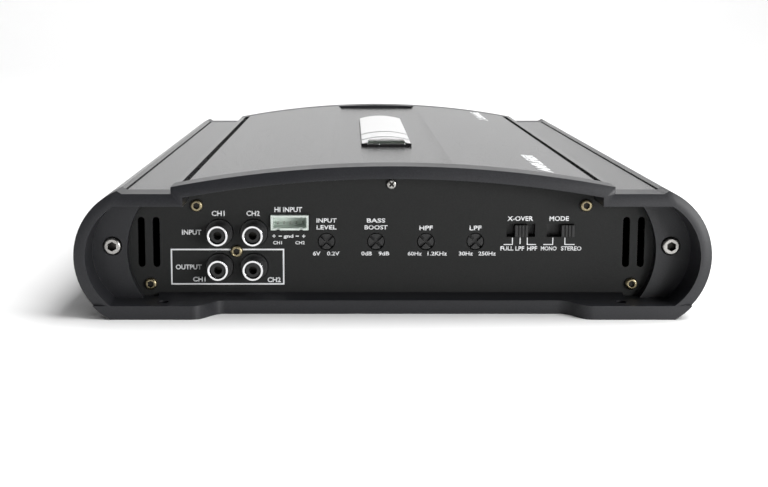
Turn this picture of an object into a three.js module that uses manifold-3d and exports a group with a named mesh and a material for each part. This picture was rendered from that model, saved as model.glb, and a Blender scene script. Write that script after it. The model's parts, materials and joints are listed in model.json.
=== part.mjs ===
// A two-channel car amplifier: an extruded heat-sink case between two cast end caps.
// Millimetres, +Z up, origin under the middle of the feet. -Y is the control end and
// +Y is the terminal end, so the case is as long as Y and as wide as X.
import * as THREE from "three";
import { mergeVertices } from "three/addons/utils/BufferGeometryUtils.js";
import Module from "manifold-3d";

const wasm = await Module();
wasm.setup();

// ---- Driving dimensions ----

// Case outline, seen along Y
const WIDTH = 250;
const LENGTH = 320;
const SIDE_RADIUS = 28.5;
const SIDE_HEIGHT = 24.6; // height of the round sides' centre
const SHOULDER_ANGLE = (67.3 * Math.PI) / 180; // where the round side ends, above the wing
const SHOULDER_BEVEL = 2; // width of the slope from the shoulder down to the wing
const WING_HEIGHT = 49.7;
const ARCH_INSET = 10; // from the round sides' centre in to the arch's edge
const ARCH_STEP = 2.75; // height of the step from the wing up to the arch
const ARCH_RISE = 8.15;

// End caps
const CAP_DEPTH = 13.5;
const RIM = 4.8;
const RIM_TAPER = 1.5; // how far the rim's face falls back from its inner to its outer edge
const RIM_LAND = 0.6; // flat width at the rim's inner edge
const FOOT_THICKNESS = 5.5;
const FOOT_INSET = 17.5; // from the round sides' centre in to the foot's inner edge
const LIP_SETBACK = 9.4;
const LIP_SWEEP = 12.5; // width of the S-curve between a foot and the set-back lip
const MOUNT_HOLE_RADIUS = 2.25;
const MOUNT_HOLE_OFFSET = 5.5; // in from the round sides' centre
const MOUNT_HOLE_INSET = 7.2;
const COLLAR_LAP = 0.5; // how far the collar starts inside the ring
const EAR_SETBACK = 14;
const EAR_ARC_RADIUS = 32.7;
const EAR_ARC_OFFSET = 23; // in from the round sides' centre
const EAR_ARC_HEIGHT = 24.5;
const RAMP_RISE = 1.4;
const RAMP_DEPTH = 6.5;

// Heat sink
const WALL = 3;
const SINK_BOTTOM = 2;
const STRIP_HALF_WIDTH = 22;
const STRIP_HEIGHT = 58.7;
const STRIP_SLOPE = 2; // how far the strip's sides lean out to the arch
const STRIP_BLOCK = 3.4; // metal under the sunken strip
const GROOVE_INSET = 4.5; // from the arch's edge to the groove's middle
const GROOVE_WIDTH = 3;
const GROOVE_DEPTH = 6;
const GROOVE_END_DEPTH = 1.8;
const FINE_GROOVE_WIDTH = 0.8;
const SIDE_GROOVE_COUNT = 5;
const SIDE_GROOVE_WIDTH = 1.8;
const SIDE_GROOVE_DEPTH = 1.3;
const SIDE_GROOVE_PITCH = (17 * Math.PI) / 180;
const BOSS_RADIUS = 3.6;
const BOSS_BORE_DEPTH = 12;
const LEDGE_THICKNESS = 2.5;
const LEDGE_INSET = 2.5; // from the round sides' centre in to the ledge's edge
const RAIL_INSET = 6.5; // from the round sides' centre in to the rail's inner face
const RAIL_THICKNESS = 3;
const RAIL_LOW = 20;

// Sheet metal
const PANEL_SETBACK = 18;
const PANEL_THICKNESS = 1.2;
const PLATE_THICKNESS = 1.5;
const STANDOFF_RADIUS = 3;
const STANDOFF_SPREAD = 0.8; // share of the board's half width and of the sink's half length

// Clearances
const FIT = 0.3;
const SEAT = 0.05;
const SCREW_CLEARANCE = 0.15;

// Screws
const CAP_SCREW = { head: 3.5, rise: 3.4, shank: 1.9, reach: 14, recess: "hex" };
const PANEL_SCREW = { head: 2.5, rise: 1.6, shank: 1.4, reach: 9, recess: "hex" };
const TOP_SCREW = { head: 2, rise: 1.3, shank: 1.4, reach: 9, recess: "cross" };
const TERMINAL_SCREW = { head: 4.1, rise: 2.6, shank: 1.9, reach: 5.2, recess: "cross" };
// Recesses, as shares of the head's rise and radius
const RECESS_DEPTH = 0.6;
const HEX_RADIUS = 0.5;
const HEX_SIDES = 6;
const CROSS_ARM = 0.62;
const CROSS_HALF_WIDTH = 0.13;

// Where the screws stand
const CAP_SCREW_OFFSET = 15.5; // out from the round sides' centre
const CAP_SCREW_Z = 26.7;
const COUNTERBORE_RADIUS = 3.85;
const COUNTERBORE_DEPTH = 2;
const UPPER_SCREW_INSET = 8.1; // in from the arch's edge
const UPPER_SCREW_Z = 42.6;
const LOWER_SCREW_OFFSET = 0.9; // out from the round sides' centre
const LOWER_SCREW_Z = 10.5;
const TOP_SCREW_Z = 51.3;

// Vent slots of the control panel
const VENT_OFFSETS = [-1.5, 4.5]; // out from the round sides' centre
const VENT_WIDTH = 2.9;
const VENT_LOW = 17.2;
const VENT_HIGH = 37.9;

// Signal sockets
const RCA_X = -62.5;
const RCA_PITCH = 14;
const RCA_LOW_Z = 17.4;
const RCA_BOSS_RADIUS = 5.5;
const RCA_BOSS_RISE = 0.6;
const RCA_RING_RADIUS = 4.15;
const RCA_RING_WALL = 0.9;
const RCA_RING_LENGTH = 7.3;
const RCA_CORE_BORE = 1.65;
const RCA_BLOCK_DEPTH = 13;
const RCA_SCREW_Z = 23.9;
const HEADER_X = -41.05;
const HEADER_WIDTH = 15.3;
const HEADER_LOW = 32.6;
const HEADER_HIGH = 38.7;
const HEADER_WALL = 0.9;
const HEADER_CAVITY_DEPTH = 8;
const HEADER_RISE = 1.5;
const HEADER_NOTCH = 1.2;
const HEADER_NOTCH_X = 4.65;

// Rotary controls and slide switches
const POT_X = [-26.2, -6.2, 14, 34];
const POT_Z = 27.75;
const POT_HOLE_RADIUS = 3.6;
const POT_KNOB_RADIUS = 3.25;
const POT_KNOB_RECESS = 0.3;
const POT_KNOB_LENGTH = 5.2;
const KNOB_SLOT_WIDTH = 1;
const KNOB_SLOT_DEPTH = 1.5;
const POT_BODY_WIDTH = 9.8;
const POT_BODY_HEIGHT = 11;
const POT_BODY_DEPTH = 7;
const LEG_WIDTH = 0.8; // share of the body's width
const LEG_BACK = 0.8; // how far back the leg plate reaches, as a share of the body's depth
const SWITCH_Z = 32.35;
const SWITCH_WINDOW_HEIGHT = 5.4;
const CROSSOVER_X = 52.35;
const CROSSOVER_TRAVEL = 6; // over the three positions
const MODE_X = 68.3;
const MODE_TRAVEL = 5.6; // between the two positions
const SLIDER_WIDTH = 5.2;
const SLIDER_RISE = 2;
const SLIDER_RIBS = 4;
const SLIDER_GROOVE = 0.4; // share of the ribs' pitch
const SWITCH_BODY_DEPTH = 6;
const SWITCH_BODY_BORDER = 2;
const WINDOW_GAP = 0.15;

// Terminals and fuses
const TERMINAL_Z = 24;
const TERMINAL_HEIGHT = 22;
const TERMINAL_BASE = 4.5;
const TERMINAL_REACH = 13.5;
const TERMINAL_WALL = 1.8;
const TERMINAL_WASHER = 1.3; // room for the clamp plate under a screw head
const POWER_X = -58;
const POWER_PITCH = 15;
const POWER_COUNT = 3;
const SPEAKER_X = 57;
const SPEAKER_PITCH = 12.6;
const SPEAKER_COUNT = 4;
const FUSE_X = [-12, 0];
const FUSE_Z = 25;
const FUSE_WIDTH = 18.9;
const FUSE_THICKNESS = 5;
const FUSE_HEIGHT = 10;
const FUSE_WAIST = 0.8; // share of the thickness below the head
const FUSE_SHOULDER = 0.95; // share of the width below the head
const FUSE_RIDGE = 0.7; // share of the width that the top ridge takes
const BLADE_WIDTH = 5.2;
const BLADE_THICKNESS = 0.8;
const BLADE_LENGTH = 7.5;
const BLADE_OFFSET = 5.8;
const HOLDER_RISE = 3.6;
const HOLDER_DEPTH = 10;
const HOLDER_BORDER = 2.4;
const LED_X = 17;
const LED_Z = 38;
const LED_RADIUS = 1.5;
const LED_STEPS = 6; // facets from the dome's edge to its top

// Inside
const BOARD_THICKNESS = 1.6;
const BOARD_TOP = 10.3;
const BOARD_SIDE_GAP = 1; // to the rails
const BOARD_END_GAP = 8;
const TRANSISTOR_Y = 60;
const TRANSISTOR_WIDTH = 16;
const TRANSISTOR_THICKNESS = 5;
const TRANSISTOR_HEIGHT = 20;
const LEAD_WIDTH = 1.2;
const LEAD_THICKNESS = 1;
const CLAMP_THICKNESS = 2.4;
const CLAMP_HEIGHT = 8;
const CLAMP_LENGTH = 160;
const CAPACITOR_RADIUS = 11;
const CAPACITOR_HEIGHT = 34;
const CAPACITOR_GROOVE = 0.9;
const CAPACITOR_NECK = 4; // from the top down to the groove
const CAPACITOR_X = 30;
const CAPACITOR_Y = 20;
const TOROID_RADIUS = 25;
const TOROID_BORE = 10;
const TOROID_HEIGHT = 24;
const TOROID_X = -35;
const TOROID_Y = 45;

// Badge on the strip
const BADGE_HALF_WIDTH = 11.5;
const BADGE_LOW_Y = -74;
const BADGE_HIGH_Y = 52;
const BADGE_EDGE = 2.2;
const BADGE_CROWN = 1.2;

// Facets
const ARC_SEGMENTS = 14; // per half arc of the case outline
const ROUND_SIDES = 24;
const SMALL_SIDES = 12;
const PAST = 1; // how far a cutter runs past what it cuts

// ---- Worked out from them ----

const FRONT = -LENGTH / 2;
const REAR = LENGTH / 2;
const SINK_END = REAR - CAP_DEPTH;
const PANEL_FACE = REAR - PANEL_SETBACK;
const INNER_END = PANEL_FACE - PANEL_THICKNESS - FIT;
const SIDE_CENTRE = WIDTH / 2 - SIDE_RADIUS;
const ARCH_HALF_WIDTH = SIDE_CENTRE - ARCH_INSET;
const FOOT_INNER_EDGE = SIDE_CENTRE - FOOT_INSET;
const MOUNT_HOLE_X = SIDE_CENTRE - MOUNT_HOLE_OFFSET;
const EAR_ARC_X = SIDE_CENTRE - EAR_ARC_OFFSET;
const GROOVE_X = ARCH_HALF_WIDTH - GROOVE_INSET;
const LEDGE_INNER_EDGE = SIDE_CENTRE - LEDGE_INSET;
const RAIL_X = SIDE_CENTRE - RAIL_INSET;
const BOARD_HALF_WIDTH = RAIL_X - BOARD_SIDE_GAP;
const CAP_SCREW_X = SIDE_CENTRE + CAP_SCREW_OFFSET;
const UPPER_SCREW_X = ARCH_HALF_WIDTH - UPPER_SCREW_INSET;
const LOWER_SCREW_X = SIDE_CENTRE + LOWER_SCREW_OFFSET;
const VENT_X = VENT_OFFSETS.map((offset) => SIDE_CENTRE + offset);
const SHOULDER_FOOT = SIDE_CENTRE + SIDE_RADIUS * Math.cos(SHOULDER_ANGLE) - SHOULDER_BEVEL;
const ARCH_RADIUS = (ARCH_HALF_WIDTH ** 2 + ARCH_RISE ** 2) / (2 * ARCH_RISE);
const APEX = WING_HEIGHT + ARCH_STEP + ARCH_RISE;
const ARCH_CENTRE = APEX - ARCH_RADIUS;
const PLATE_TOP = SINK_BOTTOM + PLATE_THICKNESS;
const BOARD_UNDERSIDE = BOARD_TOP - BOARD_THICKNESS;
const BOARD_SEAT = BOARD_TOP + FIT; // underside of what stands on the board
const RCA_HIGH_Z = RCA_LOW_Z + RCA_PITCH;
const SIDES = [-1, 1];

// ---- Materials ----

function finish(color, roughness, metalness) {
  return new THREE.MeshStandardMaterial({ color, roughness, metalness });
}

const anodised = finish(0x5a5b5d, 0.4, 0.9);
const castPaint = finish(0x36373a, 0.55, 0.4);
const sheetPaint = finish(0x333436, 0.6, 0.2);
const blackPlastic = finish(0x151516, 0.45, 0);
const whitePlastic = finish(0xb9c0bb, 0.5, 0);
const chrome = finish(0xd6d6d8, 0.15, 1);
const steel = finish(0x9a9a9c, 0.35, 1);
const brass = finish(0x9c8350, 0.35, 1);
const blackOxide = finish(0x1c1c1e, 0.4, 0.8);
const boardGreen = finish(0x1d5a34, 0.5, 0);
const copper = finish(0xa8683a, 0.35, 1);
const fuseGreen = finish(0x3fae4d, 0.25, 0);
const lampBlue = finish(0x3c6fe0, 0.2, 0);

// ---- Solids ----

function solid(geometry) {
  geometry.deleteAttribute("normal");
  geometry.deleteAttribute("uv");
  const merged = mergeVertices(geometry, 1e-4);
  return new wasm.Manifold(
    new wasm.Mesh({
      numProp: 3,
      vertProperties: merged.getAttribute("position").array,
      triVerts: new Uint32Array(merged.index.array),
    }),
  );
}

function geometryOf(body) {
  const { vertProperties, triVerts } = body.getMesh();
  const geometry = new THREE.BufferGeometry();
  geometry.setAttribute("position", new THREE.Float32BufferAttribute(vertProperties, 3));
  geometry.setIndex(new THREE.Uint32BufferAttribute(triVerts, 1));
  geometry.computeVertexNormals();
  return geometry;
}

function join(bodies) {
  return bodies.reduce((whole, body) => whole.add(body));
}

function cut(body, cutters) {
  return cutters.reduce((left, cutter) => left.subtract(cutter), body);
}

// Everything below a height.
function below(body, height) {
  return body.intersect(block(-WIDTH, WIDTH, -LENGTH, LENGTH, -PAST, height));
}

function extruded(shape, depth) {
  const options = { depth, bevelEnabled: false, curveSegments: ARC_SEGMENTS };
  return new THREE.ExtrudeGeometry(shape, options);
}

// A prism along Y: the shape's x is the width and its y is the height.
function prismY(shape, near, far) {
  const geometry = extruded(shape, far - near);
  geometry.rotateX(Math.PI / 2);
  geometry.translate(0, far, 0);
  return solid(geometry);
}

// A solid through shapes with equally many points, each at its own place along Y.
function loftY(sections) {
  const rings = sections.map(({ shape }) => shape.getPoints(ARC_SEGMENTS).slice(0, -1));
  const count = rings[0].length;
  const positions = rings.flatMap((ring, k) => ring.flatMap((p) => [p.x, sections[k].y, p.y]));
  const faces = THREE.ShapeUtils.triangulateShape(rings[0], []).flat();
  const last = (rings.length - 1) * count;
  for (const [a, b, c] of THREE.ShapeUtils.triangulateShape(rings[rings.length - 1], [])) {
    faces.push(last + a, last + c, last + b);
  }
  for (let k = 0; k < last; k += count) {
    for (let i = 0; i < count; i += 1) {
      const j = (i + 1) % count;
      faces.push(k + i, k + count + i, k + count + j);
      faces.push(k + i, k + count + j, k + j);
    }
  }
  const geometry = new THREE.BufferGeometry();
  geometry.setAttribute("position", new THREE.Float32BufferAttribute(positions, 3));
  geometry.setIndex(faces);
  return solid(geometry);
}

// A prism along Z: the shape lies in plan.
function prismZ(shape, low, high) {
  return solid(extruded(shape, high - low).translate(0, 0, low));
}

function block(x0, x1, y0, y1, z0, z1) {
  const geometry = new THREE.BoxGeometry(x1 - x0, y1 - y0, z1 - z0);
  geometry.translate((x0 + x1) / 2, (y0 + y1) / 2, (z0 + z1) / 2);
  return solid(geometry);
}

function rodY(x, z, radius, near, far, sides = SMALL_SIDES) {
  const geometry = new THREE.CylinderGeometry(radius, radius, far - near, sides);
  geometry.translate(x, (near + far) / 2, z);
  return solid(geometry);
}

function rodZ(x, y, radius, low, high, sides = SMALL_SIDES) {
  const geometry = new THREE.CylinderGeometry(radius, radius, high - low, sides);
  geometry.rotateX(Math.PI / 2);
  geometry.translate(x, y, (low + high) / 2);
  return solid(geometry);
}

// A closed profile of (radius, height) turned about Z.
function turned(profile, x, y, z, sides = ROUND_SIDES) {
  const points = profile.map(([radius, height]) => new THREE.Vector2(radius, height));
  const geometry = new THREE.LatheGeometry(points, sides);
  geometry.rotateX(Math.PI / 2);
  geometry.translate(x, y, z);
  return solid(geometry);
}

// ---- The case outline ----

// The outline seen along Y, moved inwards by inset and cut off flat at the height floor.
// The shoulder stands above the wing only on the outside, where inset is 0.
function outline(inset, floor) {
  const radius = SIDE_RADIUS - inset;
  const wing = WING_HEIGHT - inset;
  const stepX = ARCH_HALF_WIDTH - inset;
  const archRadius = ARCH_RADIUS - inset;
  const archHalfAngle = Math.asin(stepX / archRadius);
  const low = Math.asin((floor - SIDE_HEIGHT) / radius);
  const high = inset === 0 ? SHOULDER_ANGLE : Math.asin((wing - SIDE_HEIGHT) / radius);
  const wingEdge = SIDE_CENTRE + radius * Math.cos(high) - SHOULDER_BEVEL;
  const shape = new THREE.Shape();
  shape.absarc(SIDE_CENTRE, SIDE_HEIGHT, radius, low, high);
  shape.lineTo(wingEdge, wing);
  shape.lineTo(stepX, wing);
  shape.absarc(0, ARCH_CENTRE, archRadius, Math.PI / 2 - archHalfAngle, Math.PI / 2 + archHalfAngle);
  shape.lineTo(-stepX, wing);
  shape.lineTo(-wingEdge, wing);
  shape.absarc(-SIDE_CENTRE, SIDE_HEIGHT, radius, Math.PI - high, Math.PI - low);
  shape.closePath();
  return shape;
}

function archHeight(x) {
  return ARCH_CENTRE + Math.sqrt(ARCH_RADIUS ** 2 - x ** 2);
}

// ---- End caps ----

// The region in front of the set-back lip, in plan, with an S-curve up to each foot.
function lipCutter() {
  const lipEdge = FOOT_INNER_EDGE - LIP_SWEEP;
  const middle = (FOOT_INNER_EDGE + lipEdge) / 2;
  const lip = FRONT + LIP_SETBACK;
  const shape = new THREE.Shape();
  shape.moveTo(-FOOT_INNER_EDGE, FRONT - PAST);
  shape.lineTo(FOOT_INNER_EDGE, FRONT - PAST);
  shape.lineTo(FOOT_INNER_EDGE, FRONT);
  shape.bezierCurveTo(middle, FRONT, middle, lip, lipEdge, lip);
  shape.lineTo(-lipEdge, lip);
  shape.bezierCurveTo(-middle, lip, -middle, FRONT, -FOOT_INNER_EDGE, FRONT);
  shape.closePath();
  return prismZ(shape, -PAST, FOOT_THICKNESS + PAST);
}

// What the panel shows through: everything between the arcs of the two ears.
function earCutters() {
  const top = APEX + PAST;
  const middle = block(-EAR_ARC_X, EAR_ARC_X, FRONT, 0, -PAST, top);
  const arcs = SIDES.map((s) =>
    rodY(s * EAR_ARC_X, EAR_ARC_HEIGHT, EAR_ARC_RADIUS, FRONT, 0, 3 * ROUND_SIDES),
  );
  return [middle, ...arcs];
}

function ears() {
  const near = FRONT + EAR_SETBACK;
  const plate = prismY(outline(WALL + FIT, PLATE_TOP + FIT), near, -PANEL_FACE - FIT);
  const holes = SIDES.flatMap((s) => {
    const x = s * CAP_SCREW_X;
    const hole = CAP_SCREW.shank + SCREW_CLEARANCE;
    return [
      rodY(x, CAP_SCREW_Z, COUNTERBORE_RADIUS, FRONT, near + COUNTERBORE_DEPTH, ROUND_SIDES),
      rodY(x, CAP_SCREW_Z, hole, FRONT, 0),
    ];
  });
  return cut(plate, [...earCutters(), ...holes]);
}

// A low ramp that lifts the floor to the foot of the panel.
function floorRamp() {
  const far = -PANEL_FACE - FIT;
  const low = PLATE_TOP + FIT;
  const shape = new THREE.Shape();
  shape.moveTo(far - RAMP_DEPTH, FOOT_THICKNESS);
  shape.lineTo(far - RAMP_DEPTH, FOOT_THICKNESS - PAST);
  shape.lineTo(-SINK_END - COLLAR_LAP, FOOT_THICKNESS - PAST);
  shape.lineTo(-SINK_END - COLLAR_LAP, low);
  shape.lineTo(far, low);
  shape.lineTo(far, FOOT_THICKNESS + RAMP_RISE);
  shape.closePath();
  const geometry = extruded(shape, 2 * LOWER_SCREW_X - 2 * CAP_SCREW.head);
  geometry.translate(0, 0, CAP_SCREW.head - LOWER_SCREW_X);
  const along = new THREE.Vector3(0, 1, 0);
  const up = new THREE.Vector3(0, 0, 1);
  const across = new THREE.Vector3(1, 0, 0);
  geometry.applyMatrix4(new THREE.Matrix4().makeBasis(along, up, across));
  return solid(geometry);
}

// The filled-in rim: its face slopes back towards the outer edge, but the feet are upright.
function rimBlank() {
  const inwards = RIM - RIM_LAND;
  const sloped = loftY([
    { shape: outline(inwards, inwards), y: FRONT },
    { shape: outline(0, 0), y: FRONT + RIM_TAPER },
    { shape: outline(0, 0), y: -SINK_END },
  ]);
  const feet = below(prismY(outline(0, 0), FRONT, -SINK_END), FOOT_THICKNESS);
  return sloped.add(feet);
}

function endCap() {
  const opening = outline(RIM, FOOT_THICKNESS);
  const far = -PANEL_FACE - FIT;
  const collar = prismY(outline(WALL + FIT, PLATE_TOP + FIT), -SINK_END - COLLAR_LAP, far);
  const hollow = prismY(opening, FRONT - PAST, 0);
  const frame = cut(join([rimBlank(), collar]), [hollow, lipCutter()]);
  const holes = SIDES.map((s) =>
    rodZ(s * MOUNT_HOLE_X, FRONT + MOUNT_HOLE_INSET, MOUNT_HOLE_RADIUS, -PAST, FOOT_THICKNESS + PAST),
  );
  const lowerScrewRoom = SIDES.map((s) =>
    rodY(s * LOWER_SCREW_X, LOWER_SCREW_Z, PANEL_SCREW.head + FIT, -SINK_END, 0),
  );
  return cut(join([frame, ears(), floorRamp()]), [...holes, ...lowerScrewRoom]);
}

// ---- Heat sink ----

function bossWithWeb(x, z, x0, x1, z0, z1) {
  const boss = rodY(x, z, BOSS_RADIUS, -INNER_END, INNER_END);
  return boss.add(block(x0, x1, -INNER_END, INNER_END, z0, z1));
}

// Screw bosses, board-side rails, ledges and the thick places under the grooves.
function innerRibs() {
  const web = BOSS_RADIUS / 2;
  const grooveFloor = archHeight(GROOVE_X) - GROOVE_DEPTH;
  const stripFloor = STRIP_HEIGHT - STRIP_BLOCK;
  const ribs = [
    block(-STRIP_HALF_WIDTH - WALL, STRIP_HALF_WIDTH + WALL, -INNER_END, INNER_END, stripFloor, APEX),
    bossWithWeb(0, TOP_SCREW_Z, -web, web, TOP_SCREW_Z, stripFloor + PAST),
  ];
  for (const s of SIDES) {
    const across = (a, b) => [Math.min(s * a, s * b), Math.max(s * a, s * b)];
    const grooveBlock = across(GROOVE_X - GROOVE_WIDTH / 2 - WALL, ARCH_HALF_WIDTH);
    const ledge = across(LEDGE_INNER_EDGE, WIDTH / 2);
    const rail = across(RAIL_X, RAIL_X + RAIL_THICKNESS);
    const upperWeb = across(UPPER_SCREW_X - web, UPPER_SCREW_X + web);
    const lowerWeb = across(LOWER_SCREW_X - web, LOWER_SCREW_X + web);
    const sideWeb = across(CAP_SCREW_X, WIDTH / 2);
    const ledgeLow = PLATE_TOP + FIT;
    ribs.push(
      block(...grooveBlock, -INNER_END, INNER_END, grooveFloor - WALL, APEX),
      block(...ledge, -INNER_END, INNER_END, ledgeLow, ledgeLow + LEDGE_THICKNESS),
      block(...rail, -INNER_END, INNER_END, RAIL_LOW, WING_HEIGHT),
      bossWithWeb(s * UPPER_SCREW_X, UPPER_SCREW_Z, ...upperWeb, UPPER_SCREW_Z, grooveFloor),
      bossWithWeb(s * LOWER_SCREW_X, LOWER_SCREW_Z, ...lowerWeb, ledgeLow, LOWER_SCREW_Z),
      bossWithWeb(s * CAP_SCREW_X, CAP_SCREW_Z, ...sideWeb, CAP_SCREW_Z - web, CAP_SCREW_Z + web),
    );
  }
  const room = prismY(outline(WALL / 2, SINK_BOTTOM), -INNER_END, INNER_END);
  return join(ribs).intersect(room);
}

function bossBores() {
  const bore = PANEL_SCREW.shank + SCREW_CLEARANCE;
  const capBore = CAP_SCREW.shank + SCREW_CLEARANCE;
  const places = [[0, TOP_SCREW_Z, bore]];
  for (const s of SIDES) {
    places.push([s * UPPER_SCREW_X, UPPER_SCREW_Z, bore]);
    places.push([s * LOWER_SCREW_X, LOWER_SCREW_Z, bore]);
    places.push([s * CAP_SCREW_X, CAP_SCREW_Z, capBore]);
  }
  const deep = INNER_END - BOSS_BORE_DEPTH;
  return places.flatMap(([x, z, radius]) => [
    rodY(x, z, radius, -INNER_END - PAST, -deep),
    rodY(x, z, radius, deep, INNER_END + PAST),
  ]);
}

// Shallow grooves along the round sides, spread evenly about the sides' middle height.
function sideGrooves() {
  const cutters = [];
  for (const s of SIDES) {
    for (let i = 0; i < SIDE_GROOVE_COUNT; i += 1) {
      const angle = (i - (SIDE_GROOVE_COUNT - 1) / 2) * SIDE_GROOVE_PITCH;
      const long = LENGTH + 2 * PAST;
      const geometry = new THREE.BoxGeometry(2 * SIDE_GROOVE_DEPTH, long, SIDE_GROOVE_WIDTH);
      geometry.translate(SIDE_RADIUS, 0, 0);
      geometry.rotateY(-angle);
      geometry.translate(SIDE_CENTRE, 0, SIDE_HEIGHT);
      if (s < 0) geometry.rotateZ(Math.PI);
      cutters.push(solid(geometry));
    }
  }
  return cutters;
}

function topCutters() {
  const top = APEX + PAST;
  const full = SINK_END + PAST;
  const grooveTop = archHeight(GROOVE_X);
  const deepEnd = INNER_END - WALL;
  const lean = (STRIP_SLOPE * (top - STRIP_HEIGHT)) / (archHeight(STRIP_HALF_WIDTH) - STRIP_HEIGHT);
  const strip = new THREE.Shape();
  strip.moveTo(-STRIP_HALF_WIDTH, STRIP_HEIGHT);
  strip.lineTo(STRIP_HALF_WIDTH, STRIP_HEIGHT);
  strip.lineTo(STRIP_HALF_WIDTH + lean, top);
  strip.lineTo(-STRIP_HALF_WIDTH - lean, top);
  strip.closePath();
  const cutters = [prismY(strip, -full, full)];
  for (const s of SIDES) {
    const x0 = s * GROOVE_X - GROOVE_WIDTH / 2;
    const x1 = s * GROOVE_X + GROOVE_WIDTH / 2;
    const fine = s * (SHOULDER_FOOT + FINE_GROOVE_WIDTH / 4);
    const half = FINE_GROOVE_WIDTH / 2;
    cutters.push(block(x0, x1, -deepEnd, deepEnd, grooveTop - GROOVE_DEPTH, top));
    cutters.push(block(x0, x1, -full, full, grooveTop - GROOVE_END_DEPTH, top));
    cutters.push(block(fine - half, fine + half, -full, full, WING_HEIGHT - FINE_GROOVE_WIDTH, top));
  }
  return cutters;
}

function heatSink() {
  const shell = prismY(outline(0, SINK_BOTTOM), -SINK_END, SINK_END);
  const cavity = prismY(outline(WALL, SINK_BOTTOM / 2), -SINK_END - PAST, SINK_END + PAST);
  const ribbed = join([shell.subtract(cavity), innerRibs()]);
  return cut(ribbed, [...bossBores(), ...sideGrooves(), ...topCutters()]);
}

// ---- Sheet metal ----

function panelScrewPlaces() {
  return [
    [-UPPER_SCREW_X, UPPER_SCREW_Z],
    [UPPER_SCREW_X, UPPER_SCREW_Z],
    [-LOWER_SCREW_X, LOWER_SCREW_Z],
    [LOWER_SCREW_X, LOWER_SCREW_Z],
    [0, TOP_SCREW_Z],
  ];
}

function panelSheet(near) {
  const edge = outline(WALL + FIT, PLATE_TOP + FIT);
  const hole = PANEL_SCREW.shank + SCREW_CLEARANCE;
  const far = near + PANEL_THICKNESS;
  const holes = panelScrewPlaces().map(([x, z]) => rodY(x, z, hole, near - PAST, far + PAST));
  const earScrewHoles = SIDES.map((s) =>
    rodY(s * CAP_SCREW_X, CAP_SCREW_Z, CAP_SCREW.shank + FIT, near - PAST, far + PAST),
  );
  return cut(prismY(edge, near, far), [...holes, ...earScrewHoles]);
}

function ventCutters(near, far) {
  const low = VENT_LOW + VENT_WIDTH / 2;
  const high = VENT_HIGH - VENT_WIDTH / 2;
  return SIDES.flatMap((s) =>
    VENT_X.map((x) =>
      join([
        block(s * x - VENT_WIDTH / 2, s * x + VENT_WIDTH / 2, near, far, low, high),
        rodY(s * x, low, VENT_WIDTH / 2, near, far),
        rodY(s * x, high, VENT_WIDTH / 2, near, far),
      ]),
    ),
  );
}

function rcaPlaces() {
  return [RCA_HIGH_Z, RCA_LOW_Z].flatMap((z) => SIDES.map((s) => [RCA_X + (s * RCA_PITCH) / 2, z]));
}

function switchWindow(x, travel, near, far, gap = 0) {
  const half = (SLIDER_WIDTH + travel) / 2 + WINDOW_GAP + gap;
  const halfHeight = SWITCH_WINDOW_HEIGHT / 2 + gap;
  return block(x - half, x + half, near, far, SWITCH_Z - halfHeight, SWITCH_Z + halfHeight);
}

function controlPanel() {
  const near = -PANEL_FACE - PAST;
  const far = -PANEL_FACE + PANEL_THICKNESS + PAST;
  const headerHalf = HEADER_WIDTH / 2 + FIT;
  const cutters = [
    ...ventCutters(near, far),
    ...rcaPlaces().map(([x, z]) => rodY(x, z, RCA_BOSS_RADIUS + FIT, near, far, ROUND_SIDES)),
    ...POT_X.map((x) => rodY(x, POT_Z, POT_HOLE_RADIUS, near, far, ROUND_SIDES)),
    rodY(RCA_X, RCA_SCREW_Z, PANEL_SCREW.shank + SCREW_CLEARANCE, near, far),
    block(HEADER_X - headerHalf, HEADER_X + headerHalf, near, far, HEADER_LOW - FIT, HEADER_HIGH + FIT),
    switchWindow(CROSSOVER_X, CROSSOVER_TRAVEL, near, far),
    switchWindow(MODE_X, MODE_TRAVEL, near, far),
  ];
  return cut(panelSheet(-PANEL_FACE), cutters);
}

function holderSize() {
  const middle = (FUSE_X[0] + FUSE_X[1]) / 2;
  const halfWidth = (FUSE_X[1] - FUSE_X[0] + FUSE_THICKNESS) / 2 + HOLDER_BORDER;
  const halfHeight = FUSE_WIDTH / 2 + HOLDER_BORDER;
  return { middle, halfWidth, halfHeight };
}

function terminalPanel() {
  const near = PANEL_FACE - PANEL_THICKNESS;
  const { middle, halfWidth, halfHeight } = holderSize();
  const x = halfWidth - HOLDER_BORDER / 2 + FIT;
  const z = halfHeight - HOLDER_BORDER / 2 + FIT;
  const window = block(middle - x, middle + x, near - PAST, REAR, FUSE_Z - z, FUSE_Z + z);
  const lamp = rodY(LED_X, LED_Z, LED_RADIUS + SCREW_CLEARANCE, near - PAST, REAR);
  return cut(panelSheet(near), [window, lamp]);
}

// The sheet under the case, with pressed stand-offs for the board.
function bottomPlate() {
  const inner = SIDE_RADIUS - WALL;
  const drop = SIDE_HEIGHT - SINK_BOTTOM;
  const half = SIDE_CENTRE + Math.sqrt(inner ** 2 - drop ** 2) - FIT;
  const end = SINK_END - FIT;
  const sheet = block(-half, half, -end, end, SINK_BOTTOM, PLATE_TOP);
  const across = STANDOFF_SPREAD * BOARD_HALF_WIDTH;
  const along = STANDOFF_SPREAD * SINK_END;
  const spots = SIDES.flatMap((s) => [-1, 0, 1].map((t) => [s * across, t * along]));
  const posts = spots.map(([x, y]) =>
    rodZ(x, y, STANDOFF_RADIUS, SINK_BOTTOM + PLATE_THICKNESS / 2, BOARD_UNDERSIDE - SEAT),
  );
  return join([sheet, ...posts]);
}

// ---- Screws: head towards -Y, seated on the plane y = 0 ----

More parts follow.
